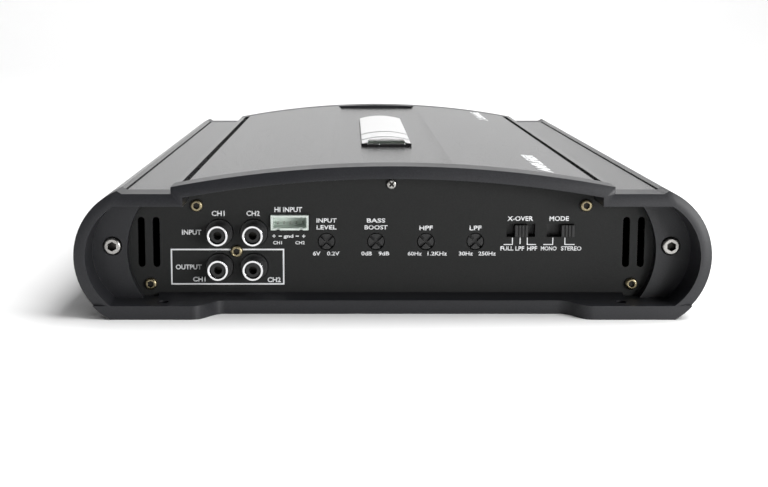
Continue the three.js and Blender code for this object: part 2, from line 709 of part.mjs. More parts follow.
function recessCutters(kind, radius, rise) {
  const depth = RECESS_DEPTH * rise;
  const near = -rise - PAST;
  if (kind === "hex") return [rodY(0, 0, HEX_RADIUS * radius, near, depth - rise, HEX_SIDES)];
  const arm = CROSS_ARM * radius;
  const half = CROSS_HALF_WIDTH * radius;
  return [
    block(-arm, arm, near, depth - rise, -half, half),
    block(-half, half, near, depth - rise, -arm, arm),
  ];
}

function screwBody({ head, rise, shank, reach, recess }) {
  const crown = rodY(0, 0, head, -rise, -SEAT, ROUND_SIDES);
  const stem = rodY(0, 0, shank, -rise / 4, reach);
  return cut(join([crown, stem]), recessCutters(recess, head, rise));
}

// ---- Signal sockets ----

function rcaBlock() {
  const half = RCA_PITCH / 2 + RCA_BOSS_RADIUS;
  const near = -PANEL_FACE + PANEL_THICKNESS + FIT;
  const face = -PANEL_FACE - RCA_BOSS_RISE;
  const ringEnd = face - RCA_RING_LENGTH;
  const core = RCA_RING_RADIUS - RCA_RING_WALL - FIT;
  const far = near + RCA_BLOCK_DEPTH;
  const top = RCA_HIGH_Z + RCA_BOSS_RADIUS;
  const body = block(RCA_X - half, RCA_X + half, near, far, BOARD_SEAT, top);
  const bosses = rcaPlaces().map(([x, z]) => rodY(x, z, RCA_BOSS_RADIUS, face, near + PAST, ROUND_SIDES));
  const cores = rcaPlaces().map(([x, z]) => rodY(x, z, core, ringEnd + PAST, near, ROUND_SIDES));
  const bores = rcaPlaces().map(([x, z]) => rodY(x, z, RCA_CORE_BORE, ringEnd, face + PAST));
  const hole = PANEL_SCREW.shank + SCREW_CLEARANCE;
  const screwBore = rodY(RCA_X, RCA_SCREW_Z, hole, near - PAST, far - PAST);
  return cut(join([body, ...bosses, ...cores]), [...bores, screwBore]);
}

function rcaShell([x, z]) {
  const far = -PANEL_FACE - RCA_BOSS_RISE - SEAT;
  const near = far - RCA_RING_LENGTH;
  const ring = rodY(x, z, RCA_RING_RADIUS, near, far, ROUND_SIDES);
  return ring.subtract(rodY(x, z, RCA_RING_RADIUS - RCA_RING_WALL, near - PAST, far + PAST, ROUND_SIDES));
}

// An open-fronted header on a stem that stands on the board.
function hiInputHeader() {
  const half = HEADER_WIDTH / 2;
  const near = -PANEL_FACE - HEADER_RISE;
  const floor = near + HEADER_CAVITY_DEPTH;
  const far = floor + 2 * HEADER_WALL;
  const inner = half - HEADER_WALL;
  const body = block(HEADER_X - half, HEADER_X + half, near, far, HEADER_LOW, HEADER_HIGH);
  const low = HEADER_LOW + HEADER_WALL;
  const high = HEADER_HIGH - HEADER_WALL;
  const stem = block(HEADER_X - inner, HEADER_X + inner, floor + FIT, far, BOARD_SEAT, high);
  const cavity = block(HEADER_X - inner, HEADER_X + inner, near - PAST, floor, low, high);
  const notches = SIDES.map((s) => {
    const x = HEADER_X + s * HEADER_NOTCH_X;
    const side = HEADER_NOTCH / 2;
    return block(x - side, x + side, near - PAST, near + HEADER_RISE, HEADER_LOW - PAST, low + PAST);
  });
  return cut(join([body, stem]), [cavity, ...notches]);
}

// ---- Rotary controls and slide switches ----

// A component body behind the panel, with a leg plate down to the board.
function standingBody(x, z, width, height, depth) {
  const near = -PANEL_FACE + PANEL_THICKNESS + FIT;
  const body = block(x - width / 2, x + width / 2, near, near + depth, z - height / 2, z + height / 2);
  const half = (LEG_WIDTH * width) / 2;
  const leg = block(x - half, x + half, near + depth / 2, near + LEG_BACK * depth, BOARD_SEAT, z);
  return join([body, leg]);
}

function knobEnd() {
  return -PANEL_FACE + POT_KNOB_RECESS + POT_KNOB_LENGTH;
}

function potBody(x) {
  const body = standingBody(x, POT_Z, POT_BODY_WIDTH, POT_BODY_HEIGHT, POT_BODY_DEPTH);
  return body.subtract(rodY(x, POT_Z, POT_KNOB_RADIUS + FIT, -PANEL_FACE, knobEnd() + FIT, ROUND_SIDES));
}

function potKnob(x) {
  const near = -PANEL_FACE + POT_KNOB_RECESS;
  const slots = SIDES.map((s) => {
    const geometry = new THREE.BoxGeometry(3 * POT_KNOB_RADIUS, 2 * KNOB_SLOT_DEPTH, KNOB_SLOT_WIDTH);
    geometry.rotateY((s * Math.PI) / 4);
    geometry.translate(x, near, POT_Z);
    return solid(geometry);
  });
  return cut(rodY(x, POT_Z, POT_KNOB_RADIUS, near, knobEnd(), ROUND_SIDES), slots);
}

function sliderEnd() {
  return -PANEL_FACE + PANEL_THICKNESS + SWITCH_BODY_DEPTH / 2;
}

function switchBody(x, travel) {
  const width = SLIDER_WIDTH + travel + 2 * SWITCH_BODY_BORDER;
  const height = SWITCH_WINDOW_HEIGHT + 2 * SWITCH_BODY_BORDER;
  const body = standingBody(x, SWITCH_Z, width, height, SWITCH_BODY_DEPTH);
  return body.subtract(switchWindow(x, travel, -PANEL_FACE, sliderEnd() + FIT, WINDOW_GAP));
}

// A ribbed thumb piece: x is where its middle stands at rest.
function slider(x) {
  const halfHeight = SWITCH_WINDOW_HEIGHT / 2 - FIT;
  const near = -PANEL_FACE - SLIDER_RISE;
  const half = SLIDER_WIDTH / 2;
  const body = block(x - half, x + half, near, sliderEnd(), SWITCH_Z - halfHeight, SWITCH_Z + halfHeight);
  const pitch = SLIDER_WIDTH / SLIDER_RIBS;
  const halfGroove = (SLIDER_GROOVE * pitch) / 2;
  const grooves = [];
  for (let i = 1; i < SLIDER_RIBS; i += 1) {
    const middle = x - half + i * pitch;
    grooves.push(block(middle - halfGroove, middle + halfGroove, near - PAST, near + pitch / 2, 0, APEX));
  }
  return cut(body, grooves);
}

// ---- Terminals and fuses ----

function terminalPlaces(x, count, pitch) {
  return Array.from({ length: count }, (_, i) => x + (i - (count - 1) / 2) * pitch);
}

// A barrier strip on the panel's outer face: a base with a wall on each side of every screw.
function terminalBlock(x, count, pitch) {
  const low = TERMINAL_Z - TERMINAL_HEIGHT / 2;
  const high = TERMINAL_Z + TERMINAL_HEIGHT / 2;
  const near = PANEL_FACE + SEAT;
  const half = (count * pitch + TERMINAL_WALL) / 2;
  const base = block(x - half, x + half, near, near + TERMINAL_BASE, low, high);
  const walls = terminalPlaces(x, count + 1, pitch).map((middle) =>
    block(
      middle - TERMINAL_WALL / 2,
      middle + TERMINAL_WALL / 2,
      near,
      near + TERMINAL_REACH,
      low,
      high,
    ),
  );
  const bore = TERMINAL_SCREW.shank + SCREW_CLEARANCE;
  const bores = terminalPlaces(x, count, pitch).map((middle) =>
    rodY(middle, TERMINAL_Z, bore, near + SEAT + FIT, near + TERMINAL_BASE + PAST),
  );
  return cut(join([base, ...walls]), bores);
}

function fuseHolder() {
  const { middle, halfWidth, halfHeight } = holderSize();
  const near = PANEL_FACE - HOLDER_DEPTH;
  const seat = PANEL_FACE + SEAT;
  const x = halfWidth - HOLDER_BORDER / 2;
  const z = halfHeight - HOLDER_BORDER / 2;
  const flange = block(
    middle - halfWidth,
    middle + halfWidth,
    seat,
    PANEL_FACE + HOLDER_RISE,
    FUSE_Z - halfHeight,
    FUSE_Z + halfHeight,
  );
  const body = block(middle - x, middle + x, near, seat + PAST, FUSE_Z - z, FUSE_Z + z);
  const slots = FUSE_X.flatMap((fuseX) => bladeSolids(fuseX, FIT, PAST));
  return cut(join([flange, body]), slots);
}

function bladeSolids(x, gap, past) {
  const far = PANEL_FACE + HOLDER_RISE + past;
  const near = PANEL_FACE + HOLDER_RISE - BLADE_LENGTH - gap;
  const thick = BLADE_THICKNESS / 2 + gap;
  const half = BLADE_WIDTH / 2 + gap;
  return SIDES.map((s) => {
    const z = FUSE_Z + s * BLADE_OFFSET;
    return block(x - thick, x + thick, near, far, z - half, z + half);
  });
}

function fuse(x) {
  const seat = PANEL_FACE + HOLDER_RISE + FIT;
  const top = seat + FUSE_HEIGHT;
  const slab = (thickness, near, far, width) => {
    const half = width / 2;
    return block(x - thickness / 2, x + thickness / 2, near, far, FUSE_Z - half, FUSE_Z + half);
  };
  const head = slab(FUSE_THICKNESS, top - FUSE_HEIGHT / 3, top, FUSE_WIDTH);
  const body = slab(FUSE_WAIST * FUSE_THICKNESS, seat, top - PAST, FUSE_SHOULDER * FUSE_WIDTH);
  const ridge = slab(FUSE_THICKNESS / 2, top - PAST, top + PAST / 2, FUSE_RIDGE * FUSE_WIDTH);
  return join([head, body, ridge, ...bladeSolids(x, 0, FIT + PAST)]);
}

function statusLed() {
  const length = PANEL_THICKNESS + 2 * LED_RADIUS;
  const profile = [[0, 0], [LED_RADIUS, 0], [LED_RADIUS, length]];
  for (let i = 1; i < LED_STEPS; i += 1) {
    const angle = (i * Math.PI) / (2 * LED_STEPS);
    profile.push([LED_RADIUS * Math.cos(angle), length + LED_RADIUS * Math.sin(angle)]);
  }
  profile.push([0, length + LED_RADIUS]);
  const points = profile.map(([radius, height]) => new THREE.Vector2(radius, height));
  const geometry = new THREE.LatheGeometry(points, SMALL_SIDES);
  geometry.translate(LED_X, PANEL_FACE + SEAT - length, LED_Z);
  return solid(geometry);
}

// ---- Inside ----

function circuitBoard() {
  const end = INNER_END - BOARD_END_GAP;
  return block(-BOARD_HALF_WIDTH, BOARD_HALF_WIDTH, -end, end, BOARD_UNDERSIDE, BOARD_TOP);
}

function transistor(side, y) {
  const back = RAIL_X - FIT;
  const front = back - TRANSISTOR_THICKNESS;
  const high = RAIL_LOW + TRANSISTOR_HEIGHT - PAST;
  const x = [side * back, side * front].sort((a, b) => a - b);
  const body = block(...x, y - TRANSISTOR_WIDTH / 2, y + TRANSISTOR_WIDTH / 2, RAIL_LOW - PAST, high);
  const middle = (x[0] + x[1]) / 2;
  const half = LEAD_THICKNESS / 2;
  const legs = [-1, 0, 1].map((t) => {
    const legY = y + (t * TRANSISTOR_WIDTH) / 3;
    const y0 = legY - LEAD_WIDTH / 2;
    return block(middle - half, middle + half, y0, y0 + LEAD_WIDTH, BOARD_SEAT, RAIL_LOW);
  });
  return join([body, ...legs]);
}

function transistorClamp(side) {
  const outer = RAIL_X - 2 * FIT - TRANSISTOR_THICKNESS;
  const x = [side * outer, side * (outer - CLAMP_THICKNESS)].sort((a, b) => a - b);
  const middle = RAIL_LOW + TRANSISTOR_HEIGHT / 2;
  const half = CLAMP_HEIGHT / 2;
  const bar = block(...x, -CLAMP_LENGTH / 2, CLAMP_LENGTH / 2, middle - half, middle + half);
  const edges = [...x, ...x.map((value) => value - side * CLAMP_THICKNESS)];
  const lip = block(
    Math.min(...edges),
    Math.max(...edges),
    -CLAMP_LENGTH / 2,
    CLAMP_LENGTH / 2,
    middle + half - CLAMP_THICKNESS / 2,
    middle + half,
  );
  return join([bar, lip]);
}

function capacitor(x, y) {
  const groove = CAPACITOR_GROOVE;
  const high = CAPACITOR_HEIGHT;
  const neck = high - CAPACITOR_NECK;
  const profile = [
    [0, 0],
    [CAPACITOR_RADIUS, 0],
    [CAPACITOR_RADIUS, neck - 2 * groove],
    [CAPACITOR_RADIUS - groove, neck - groove],
    [CAPACITOR_RADIUS, neck],
    [CAPACITOR_RADIUS, high - groove],
    [CAPACITOR_RADIUS - groove, high],
    [0, high],
  ];
  return turned(profile, x, y, BOARD_SEAT);
}

function transformer(x, y) {
  const bevel = TOROID_HEIGHT / 5;
  const profile = [
    [TOROID_BORE, bevel],
    [TOROID_BORE + bevel, 0],
    [TOROID_RADIUS - bevel, 0],
    [TOROID_RADIUS, bevel],
    [TOROID_RADIUS, TOROID_HEIGHT - bevel],
    [TOROID_RADIUS - bevel, TOROID_HEIGHT],
    [TOROID_BORE + bevel, TOROID_HEIGHT],
    [TOROID_BORE, TOROID_HEIGHT - bevel],
    [TOROID_BORE, bevel],
  ];
  return turned(profile, x, y, BOARD_SEAT);
}

// ---- Badge ----

// A crowned bar on the sunken strip, with rounded ends in plan.
function badge() {
  const low = STRIP_HEIGHT + SEAT;
  const edge = low + BADGE_EDGE;
  const radius = (BADGE_HALF_WIDTH ** 2 + BADGE_CROWN ** 2) / (2 * BADGE_CROWN);
  const angle = Math.asin(BADGE_HALF_WIDTH / radius);
  const section = new THREE.Shape();
  section.moveTo(-BADGE_HALF_WIDTH, low);
  section.lineTo(BADGE_HALF_WIDTH, low);
  section.lineTo(BADGE_HALF_WIDTH, edge);
  section.absarc(0, edge + BADGE_CROWN - radius, radius, Math.PI / 2 - angle, Math.PI / 2 + angle);
  section.closePath();
  const corner = BADGE_HALF_WIDTH / 4;
  const plan = new THREE.Shape();
  const right = BADGE_HALF_WIDTH;
  plan.moveTo(-right + corner, BADGE_LOW_Y);
  plan.lineTo(right - corner, BADGE_LOW_Y);
  plan.absarc(right - corner, BADGE_LOW_Y + corner, corner, -Math.PI / 2, 0);
  plan.absarc(right - corner, BADGE_HIGH_Y - corner, corner, 0, Math.PI / 2);
  plan.absarc(corner - right, BADGE_HIGH_Y - corner, corner, Math.PI / 2, Math.PI);
  plan.absarc(corner - right, BADGE_LOW_Y + corner, corner, Math.PI, 1.5 * Math.PI);
  const bar = prismY(section, BADGE_LOW_Y - PAST, BADGE_HIGH_Y + PAST);
  return bar.intersect(prismZ(plan, low - PAST, edge + BADGE_CROWN + PAST));
}

// ---- The assembly ----

const amplifier = new THREE.Group();

function add(name, body, material) {
  const mesh = new THREE.Mesh(geometryOf(body), material);
  mesh.name = name;
  amplifier.add(mesh);
  return mesh;
}

// At the terminal end a screw is turned round, so that its head faces +Y.
function addScrew(name, kind, x, y, z, material) {
  const mesh = add(name, screwBody(kind), material);
  mesh.position.set(x, y, z);
  if (y > 0) mesh.rotation.z = Math.PI;
}

function addCase() {
  add("heat_sink", heatSink(), anodised);
  add("front_end_cap", endCap(), castPaint);
  add("rear_end_cap", endCap(), castPaint).rotation.z = Math.PI;
  add("control_panel", controlPanel(), sheetPaint);
  add("terminal_panel", terminalPanel(), sheetPaint);
  add("bottom_plate", bottomPlate(), sheetPaint);
  add("badge_base", badge(), chrome);
  const seat = FRONT + EAR_SETBACK + COUNTERBORE_DEPTH;
  addScrew("front_cap_screw_left", CAP_SCREW, -CAP_SCREW_X, seat, CAP_SCREW_Z, steel);
  addScrew("front_cap_screw_right", CAP_SCREW, CAP_SCREW_X, seat, CAP_SCREW_Z, steel);
  addScrew("rear_cap_screw_left", CAP_SCREW, -CAP_SCREW_X, -seat, CAP_SCREW_Z, steel);
  addScrew("rear_cap_screw_right", CAP_SCREW, CAP_SCREW_X, -seat, CAP_SCREW_Z, steel);
}

function addPanelScrews() {
  panelScrewPlaces().forEach(([x, z], i) => {
    const kind = x === 0 ? TOP_SCREW : PANEL_SCREW;
    addScrew(`control_panel_screw_${i + 1}`, kind, x, -PANEL_FACE, z, x === 0 ? steel : brass);
  });
  panelScrewPlaces().slice(0, 2).forEach(([x, z], i) => {
    addScrew(`terminal_panel_screw_${i + 1}`, PANEL_SCREW, x, PANEL_FACE, z, brass);
  });
  addScrew("rca_block_screw", PANEL_SCREW, RCA_X, -PANEL_FACE, RCA_SCREW_Z, brass);
}

function addControls() {
  add("rca_block", rcaBlock(), blackPlastic);
  rcaPlaces().forEach((place, i) => add(`rca_shell_${i + 1}`, rcaShell(place), chrome));
  add("hi_input_header", hiInputHeader(), whitePlastic);
  const knobNames = ["level_knob", "boost_knob", "highpass_knob", "lowpass_knob"];
  POT_X.forEach((x, i) => {
    add(`pot_body_${i + 1}`, potBody(x), blackPlastic);
    add(knobNames[i], potKnob(x), blackPlastic);
  });
  add("crossover_switch_body", switchBody(CROSSOVER_X, CROSSOVER_TRAVEL), blackPlastic);
  add("mode_switch_body", switchBody(MODE_X, MODE_TRAVEL), blackPlastic);
  add("crossover_slider", slider(CROSSOVER_X), blackPlastic);
  add("mode_slider", slider(MODE_X + MODE_TRAVEL / 2), blackPlastic);
}

function addTerminals() {
  const screwSeat = PANEL_FACE + SEAT + TERMINAL_BASE + TERMINAL_WASHER;
  const strips = [
    ["power", POWER_X, POWER_COUNT, POWER_PITCH],
    ["speaker", SPEAKER_X, SPEAKER_COUNT, SPEAKER_PITCH],
  ];
  for (const [name, x, count, pitch] of strips) {
    add(`${name}_terminal_block`, terminalBlock(x, count, pitch), blackPlastic);
    terminalPlaces(x, count, pitch).forEach((place, i) => {
      addScrew(`${name}_terminal_screw_${i + 1}`, TERMINAL_SCREW, place, screwSeat, TERMINAL_Z, chrome);
    });
  }
  add("fuse_holder", fuseHolder(), blackPlastic);
  FUSE_X.forEach((x, i) => add(`fuse_${i + 1}`, fuse(x), fuseGreen));
  add("status_led", statusLed(), lampBlue);
}

function addInside() {
  add("circuit_board", circuitBoard(), boardGreen);
  add("transformer", transformer(TOROID_X, TOROID_Y), copper);
  add("capacitor_1", capacitor(CAPACITOR_X, -CAPACITOR_Y), blackPlastic);
  add("capacitor_2", capacitor(CAPACITOR_X, CAPACITOR_Y), blackPlastic);
  let number = 1;
  for (const side of SIDES) {
    add(`transistor_clamp_${side < 0 ? "left" : "right"}`, transistorClamp(side), steel);
    for (const end of SIDES) {
      add(`transistor_${number}`, transistor(side, end * TRANSISTOR_Y), blackOxide);
      number += 1;
    }
  }
}

addCase();
addPanelScrews();
addControls();
addTerminals();
addInside();

export default amplifier;
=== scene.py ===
"""A two-channel car amplifier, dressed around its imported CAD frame.

Every piece is in metres in the frame's own axes: the control end faces -Y and the terminal end +Y.
"""

import json
import math

import bpy
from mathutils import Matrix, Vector

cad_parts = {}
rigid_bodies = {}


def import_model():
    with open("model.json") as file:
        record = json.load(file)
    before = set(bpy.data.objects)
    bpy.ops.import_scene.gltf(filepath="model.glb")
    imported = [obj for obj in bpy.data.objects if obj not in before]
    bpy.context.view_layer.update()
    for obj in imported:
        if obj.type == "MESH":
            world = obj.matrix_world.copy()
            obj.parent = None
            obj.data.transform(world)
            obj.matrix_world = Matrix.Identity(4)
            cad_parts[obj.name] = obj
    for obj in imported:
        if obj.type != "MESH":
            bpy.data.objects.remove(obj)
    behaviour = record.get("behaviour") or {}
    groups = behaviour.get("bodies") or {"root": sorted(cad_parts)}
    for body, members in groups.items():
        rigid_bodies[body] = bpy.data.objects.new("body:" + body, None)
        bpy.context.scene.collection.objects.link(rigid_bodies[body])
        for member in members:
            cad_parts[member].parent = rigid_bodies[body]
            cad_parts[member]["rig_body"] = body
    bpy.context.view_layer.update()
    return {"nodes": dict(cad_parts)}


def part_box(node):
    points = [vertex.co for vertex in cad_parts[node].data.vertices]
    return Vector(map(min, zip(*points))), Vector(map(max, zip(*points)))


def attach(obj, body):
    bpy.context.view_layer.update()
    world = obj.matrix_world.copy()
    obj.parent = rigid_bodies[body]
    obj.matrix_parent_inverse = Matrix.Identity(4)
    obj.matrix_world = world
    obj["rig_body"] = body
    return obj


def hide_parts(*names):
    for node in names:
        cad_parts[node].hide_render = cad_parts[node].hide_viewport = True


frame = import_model()
NODES = frame["nodes"]
MM = 0.001
CASE = "amplifier"


# ---- Places taken from the frame ----


def middle(node):
    low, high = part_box(node)
    return (low + high) / 2


CONTROL_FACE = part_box("control_panel")[0].y
TERMINAL_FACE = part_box("terminal_panel")[1].y
STRIP_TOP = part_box("badge_base")[0].z
BADGE_LOW, BADGE_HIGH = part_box("badge_base")
INK = 0.04 * MM  # how far print stands off what it is printed on
FACING = 0.9  # how much of a face's normal lies along the axis that it is said to look along
ROUNDED_FROM = math.radians(40)  # edges sharper than this are rounded
SMOOTH_BELOW = math.radians(35)  # faces that meet at less than this are shaded as one
KNOBS = ["level_knob", "boost_knob", "highpass_knob", "lowpass_knob"]
RCA_SHELLS = [f"rca_shell_{i}" for i in range(1, 5)]
POWER_SCREWS = [f"power_terminal_screw_{i}" for i in range(1, 4)]
SPEAKER_SCREWS = [f"speaker_terminal_screw_{i}" for i in range(1, 5)]


# ---- Materials ----


def new_material(name, color, roughness, metallic=0.0):
    """A material with a Principled shader, and the tools to add to its node tree."""
    material = bpy.data.materials.new(name)
    material.use_nodes = True
    shader = material.node_tree.nodes["Principled BSDF"]
    shader.inputs["Base Color"].default_value = (*color, 1)
    shader.inputs["Roughness"].default_value = roughness
    shader.inputs["Metallic"].default_value = metallic
    return material, material.node_tree, shader


def coordinates(tree, scale=(1, 1, 1)):
    """Object coordinates, stretched by scale."""
    source = tree.nodes.new("ShaderNodeTexCoord")
    mapping = tree.nodes.new("ShaderNodeMapping")
    mapping.inputs["Scale"].default_value = scale
    tree.links.new(source.outputs["Object"], mapping.inputs["Vector"])
    return mapping.outputs["Vector"]


def noise(tree, vector, size, detail=2.0):
    """Noise whose grains are about size metres across."""
    node = tree.nodes.new("ShaderNodeTexNoise")
    node.inputs["Scale"].default_value = 1 / size
    node.inputs["Detail"].default_value = detail
    tree.links.new(vector, node.inputs["Vector"])
    return node.outputs["Fac"]


def spread(tree, value, low, high, start=0.3, end=0.7):
    """Maps value's start to end onto low to high."""
    node = tree.nodes.new("ShaderNodeMapRange")
    node.inputs["From Min"].default_value = start
    node.inputs["From Max"].default_value = end
    node.inputs["To Min"].default_value = low
    node.inputs["To Max"].default_value = high
    tree.links.new(value, node.inputs["Value"])
    return node.outputs["Result"]


def mixed(tree, value, dark, light):
    """A colour between dark and light."""
    node = tree.nodes.new("ShaderNodeMix")
    node.data_type = "RGBA"
    node.inputs["A"].default_value = (*dark, 1)
    node.inputs["B"].default_value = (*light, 1)
    tree.links.new(value, node.inputs["Factor"])
    return node.outputs["Result"]


def bump(tree, shader, height, depth):
    """Raises the surface by height times depth metres."""
    node = tree.nodes.new("ShaderNodeBump")
    node.inputs["Distance"].default_value = depth
    tree.links.new(height, node.inputs["Height"])
    tree.links.new(node.outputs["Normal"], shader.inputs["Normal"])


def paint(name, dark, light, roughness, grain, depth, reflection):
    """A sprayed finish: a fine grain with slightly uneven colour and gloss."""
    material, tree, shader = new_material(name, light, roughness)
    shader.inputs["Specular IOR Level"].default_value = reflection
    vector = coordinates(tree)
    fine = noise(tree, vector, grain, 3)
    broad = noise(tree, vector, 45 * MM)
    tree.links.new(mixed(tree, spread(tree, fine, 0, 1), dark, light), shader.inputs["Base Color"])
    gloss = spread(tree, broad, roughness - 0.04, roughness + 0.05)
    tree.links.new(gloss, shader.inputs["Roughness"])
    bump(tree, shader, fine, depth)
    return material


def brushed(name, dark, light, roughness, stretch):
    """A dyed metal surface with a fine grain, drawn out along the axis that stretch shrinks."""
    material, tree, shader = new_material(name, light, roughness)
    lines = noise(tree, coordinates(tree, stretch), 0.35 * MM, 3)
    tree.links.new(mixed(tree, spread(tree, lines, 0, 1), dark, light), shader.inputs["Base Color"])
    gloss = spread(tree, lines, roughness - 0.03, roughness + 0.04)
    tree.links.new(gloss, shader.inputs["Roughness"])
    bump(tree, shader, lines, 0.0025 * MM)
    return material


def plated(name, color, roughness, wear=1.0):
    """Plated metal with faint handling marks in its gloss."""
    material, tree, shader = new_material(name, color, roughness, 1.0)
    marks = noise(tree, coordinates(tree), 1.6 * MM, 4)
    gloss = spread(tree, marks, roughness * (1 - 0.3 * wear), roughness * (1 + 0.6 * wear))
    tree.links.new(gloss, shader.inputs["Roughness"])
    worn = [channel * (1 - 0.14 * wear) for channel in color]
    tree.links.new(mixed(tree, spread(tree, marks, 0, 1), worn, color), shader.inputs["Base Color"])
    return material


def moulded(name, color, roughness, grain=0.25 * MM, depth=0.012 * MM):
    """Moulded plastic with a fine spark-eroded texture."""
    material, tree, shader = new_material(name, color, roughness)
    vector = coordinates(tree)
    fine = noise(tree, vector, grain)
    broad = noise(tree, vector, 6 * MM)
    deep = [channel * 0.8 for channel in color]
    tree.links.new(mixed(tree, spread(tree, broad, 0, 1), deep, color), shader.inputs["Base Color"])
    tree.links.new(spread(tree, fine, roughness - 0.06, roughness + 0.08), shader.inputs["Roughness"])
    bump(tree, shader, fine, depth)
    return material


def clear(name, color, roughness, transmission):
    """Tinted see-through plastic with slight ripples."""
    material, tree, shader = new_material(name, color, roughness)
    shader.inputs["Transmission Weight"].default_value = transmission
    shader.inputs["IOR"].default_value = 1.49
    ripples = noise(tree, coordinates(tree), 2.5 * MM)
    tree.links.new(spread(tree, ripples, roughness * 0.6, roughness * 1.8), shader.inputs["Roughness"])
    bump(tree, shader, ripples, 0.02 * MM)
    return material


def board_mask():
    """Green solder mask over copper tracks."""
    material, tree, shader = new_material("board_mask", (0.01, 0.08, 0.03), 0.35)
    vector = coordinates(tree)
    cells = tree.nodes.new("ShaderNodeTexVoronoi")
    cells.distance = "MANHATTAN"
    cells.inputs["Scale"].default_value = 1 / (7 * MM)
    tree.links.new(vector, cells.inputs["Vector"])
    tracks = spread(tree, cells.outputs["Distance"], 0, 1, 0.3, 0.34)
    colour = mixed(tree, tracks, (0.012, 0.10, 0.035), (0.006, 0.05, 0.02))
    tree.links.new(colour, shader.inputs["Base Color"])
    bump(tree, shader, tracks, 0.03 * MM)
    return material


def wound_copper():
    """Enamelled wire laid round a core."""
    material, tree, shader = new_material("wound_copper", (0.42, 0.16, 0.06), 0.3, 0.9)
    wire = tree.nodes.new("ShaderNodeTexWave")
    wire.inputs["Scale"].default_value = 1 / (5 * MM)
    wire.inputs["Distortion"].default_value = 1.5
    tree.links.new(coordinates(tree), wire.inputs["Vector"])
    lines = wire.outputs["Fac"]
    tree.links.new(mixed(tree, lines, (0.16, 0.05, 0.02), (0.5, 0.2, 0.08)), shader.inputs["Base Color"])
    bump(tree, shader, lines, 0.2 * MM)
    return material


CAST = paint("cast_paint", (0.010, 0.0102, 0.0122), (0.022, 0.0225, 0.026), 0.40, 0.35 * MM, 0.02 * MM, 0.4)
SHEET = paint("sheet_paint", (0.019, 0.0195, 0.0195), (0.026, 0.0265, 0.026), 0.5, 0.3 * MM, 0.01 * MM, 0.12)
ANODISED = brushed("anodised", (0.026, 0.026, 0.027), (0.034, 0.034, 0.035), 0.26, (1, 0.35, 1))
BLACK = moulded("black_plastic", (0.006, 0.006, 0.0065), 0.38)
KNOB_BLACK = moulded("knob_plastic", (0.010, 0.010, 0.0105), 0.42)
WHITE = moulded("white_plastic", (0.78, 0.86, 0.80), 0.4)
CHROME = plated("chrome", (0.80, 0.80, 0.81), 0.07)
BADGE_WHITE = plated("badge_plating", (0.84, 0.84, 0.84), 0.30, 0.15)
STEEL = plated("zinc_steel", (0.46, 0.45, 0.43), 0.26)
BRASS = plated("yellow_zinc", (0.34, 0.29, 0.18), 0.30)
TIN = plated("tinned_copper", (0.62, 0.62, 0.60), 0.2)
# Painted shade: a near-black finish laid on the faces inside screw sockets and socket bores, standing in for
# the shade in those recesses.
RECESS_PAINTED_SHADE = plated("painted_recess_shade", (0.035, 0.033, 0.030), 0.35)
OXIDE = moulded("epoxy", (0.012, 0.012, 0.013), 0.5)
PRINT = moulded("white_print", (0.90, 0.91, 0.92), 0.6, 0.15 * MM, 0.004 * MM)
BOARD = board_mask()
COPPER = wound_copper()
FUSE_GREEN = clear("fuse_green", (0.10, 0.62, 0.16), 0.12, 0.75)
LAMP = clear("lamp_blue", (0.12, 0.30, 0.95), 0.08, 0.8)
ACRYLIC = clear("clear_acrylic", (0.80, 0.88, 0.80), 0.04, 0.95)


# ---- Modelling tools ----


def pick(obj):
    """Makes obj the one selected object."""
    bpy.ops.object.select_all(action="DESELECT")
    obj.select_set(True)
    bpy.context.view_layer.objects.active = obj
    return obj


def started(name):
    """Names the primitive that was just added."""
    obj = bpy.context.object
    obj.name = name
    obj.data.name = name
    return obj


def settle(obj):
    """Puts a piece's place and size into its mesh."""
    pick(obj)
    bpy.ops.object.transform_apply(location=True, rotation=True, scale=True)
    return obj


def cylinder(name, at, radius, depth, sides=48, axis="Y"):
    turn = {"Y": (math.pi / 2, 0, 0), "Z": (0, 0, 0)}[axis]
    bpy.ops.object.select_all(action="DESELECT")
    bpy.ops.mesh.primitive_cylinder_add(
        vertices=sides, radius=radius, depth=depth, location=at, rotation=turn
    )
    return settle(started(name))


def cuboid(name, low, high):
    low, high = Vector(low), Vector(high)
    bpy.ops.object.select_all(action="DESELECT")
    bpy.ops.mesh.primitive_cube_add(size=1, location=(low + high) / 2, scale=high - low)
    return settle(started(name))


def modify(obj, kind, **settings):
    """Adds a modifier, sets it and applies it."""
    pick(obj)
    bpy.ops.object.modifier_add(type=kind)
    modifier = obj.modifiers[-1]
    for key, value in settings.items():
        setattr(modifier, key, value)
    bpy.ops.object.modifier_apply(modifier=modifier.name)
    return obj


def cut(obj, *tools):
    """Cuts the tools' shapes out of obj and removes the tools."""
    for tool in tools:
        modify(obj, "BOOLEAN", operation="DIFFERENCE", object=tool, solver="EXACT")
        bpy.data.objects.remove(tool)
    return obj


def soften(obj, width, segments=2):
    """Rounds the sharp edges and smooths what lies between."""
    modify(
        obj,
        "BEVEL",
        width=width,
        segments=segments,
        limit_method="ANGLE",
        angle_limit=ROUNDED_FROM,
        use_clamp_overlap=True,
        miter_outer="MITER_ARC",
    )
    return smooth(obj)


def smooth(obj):
    pick(obj)
    bpy.ops.object.shade_smooth_by_angle(angle=SMOOTH_BELOW)
    modify(obj, "WEIGHTED_NORMAL", keep_sharp=True)
    return obj


def select_where(obj, wanted, mode="FACE"):
    """Opens obj for editing with the faces or edges selected for which wanted(item) is true."""
    mesh = obj.data
    pick(obj)
    bpy.ops.object.mode_set(mode="EDIT")
    bpy.ops.mesh.select_mode(type=mode)
    bpy.ops.mesh.select_all(action="DESELECT")
    bpy.ops.object.mode_set(mode="OBJECT")
    items = {"FACE": mesh.polygons, "EDGE": mesh.edges}[mode]
    for item in items:
        item.select = bool(wanted(item))
    bpy.ops.object.mode_set(mode="EDIT")


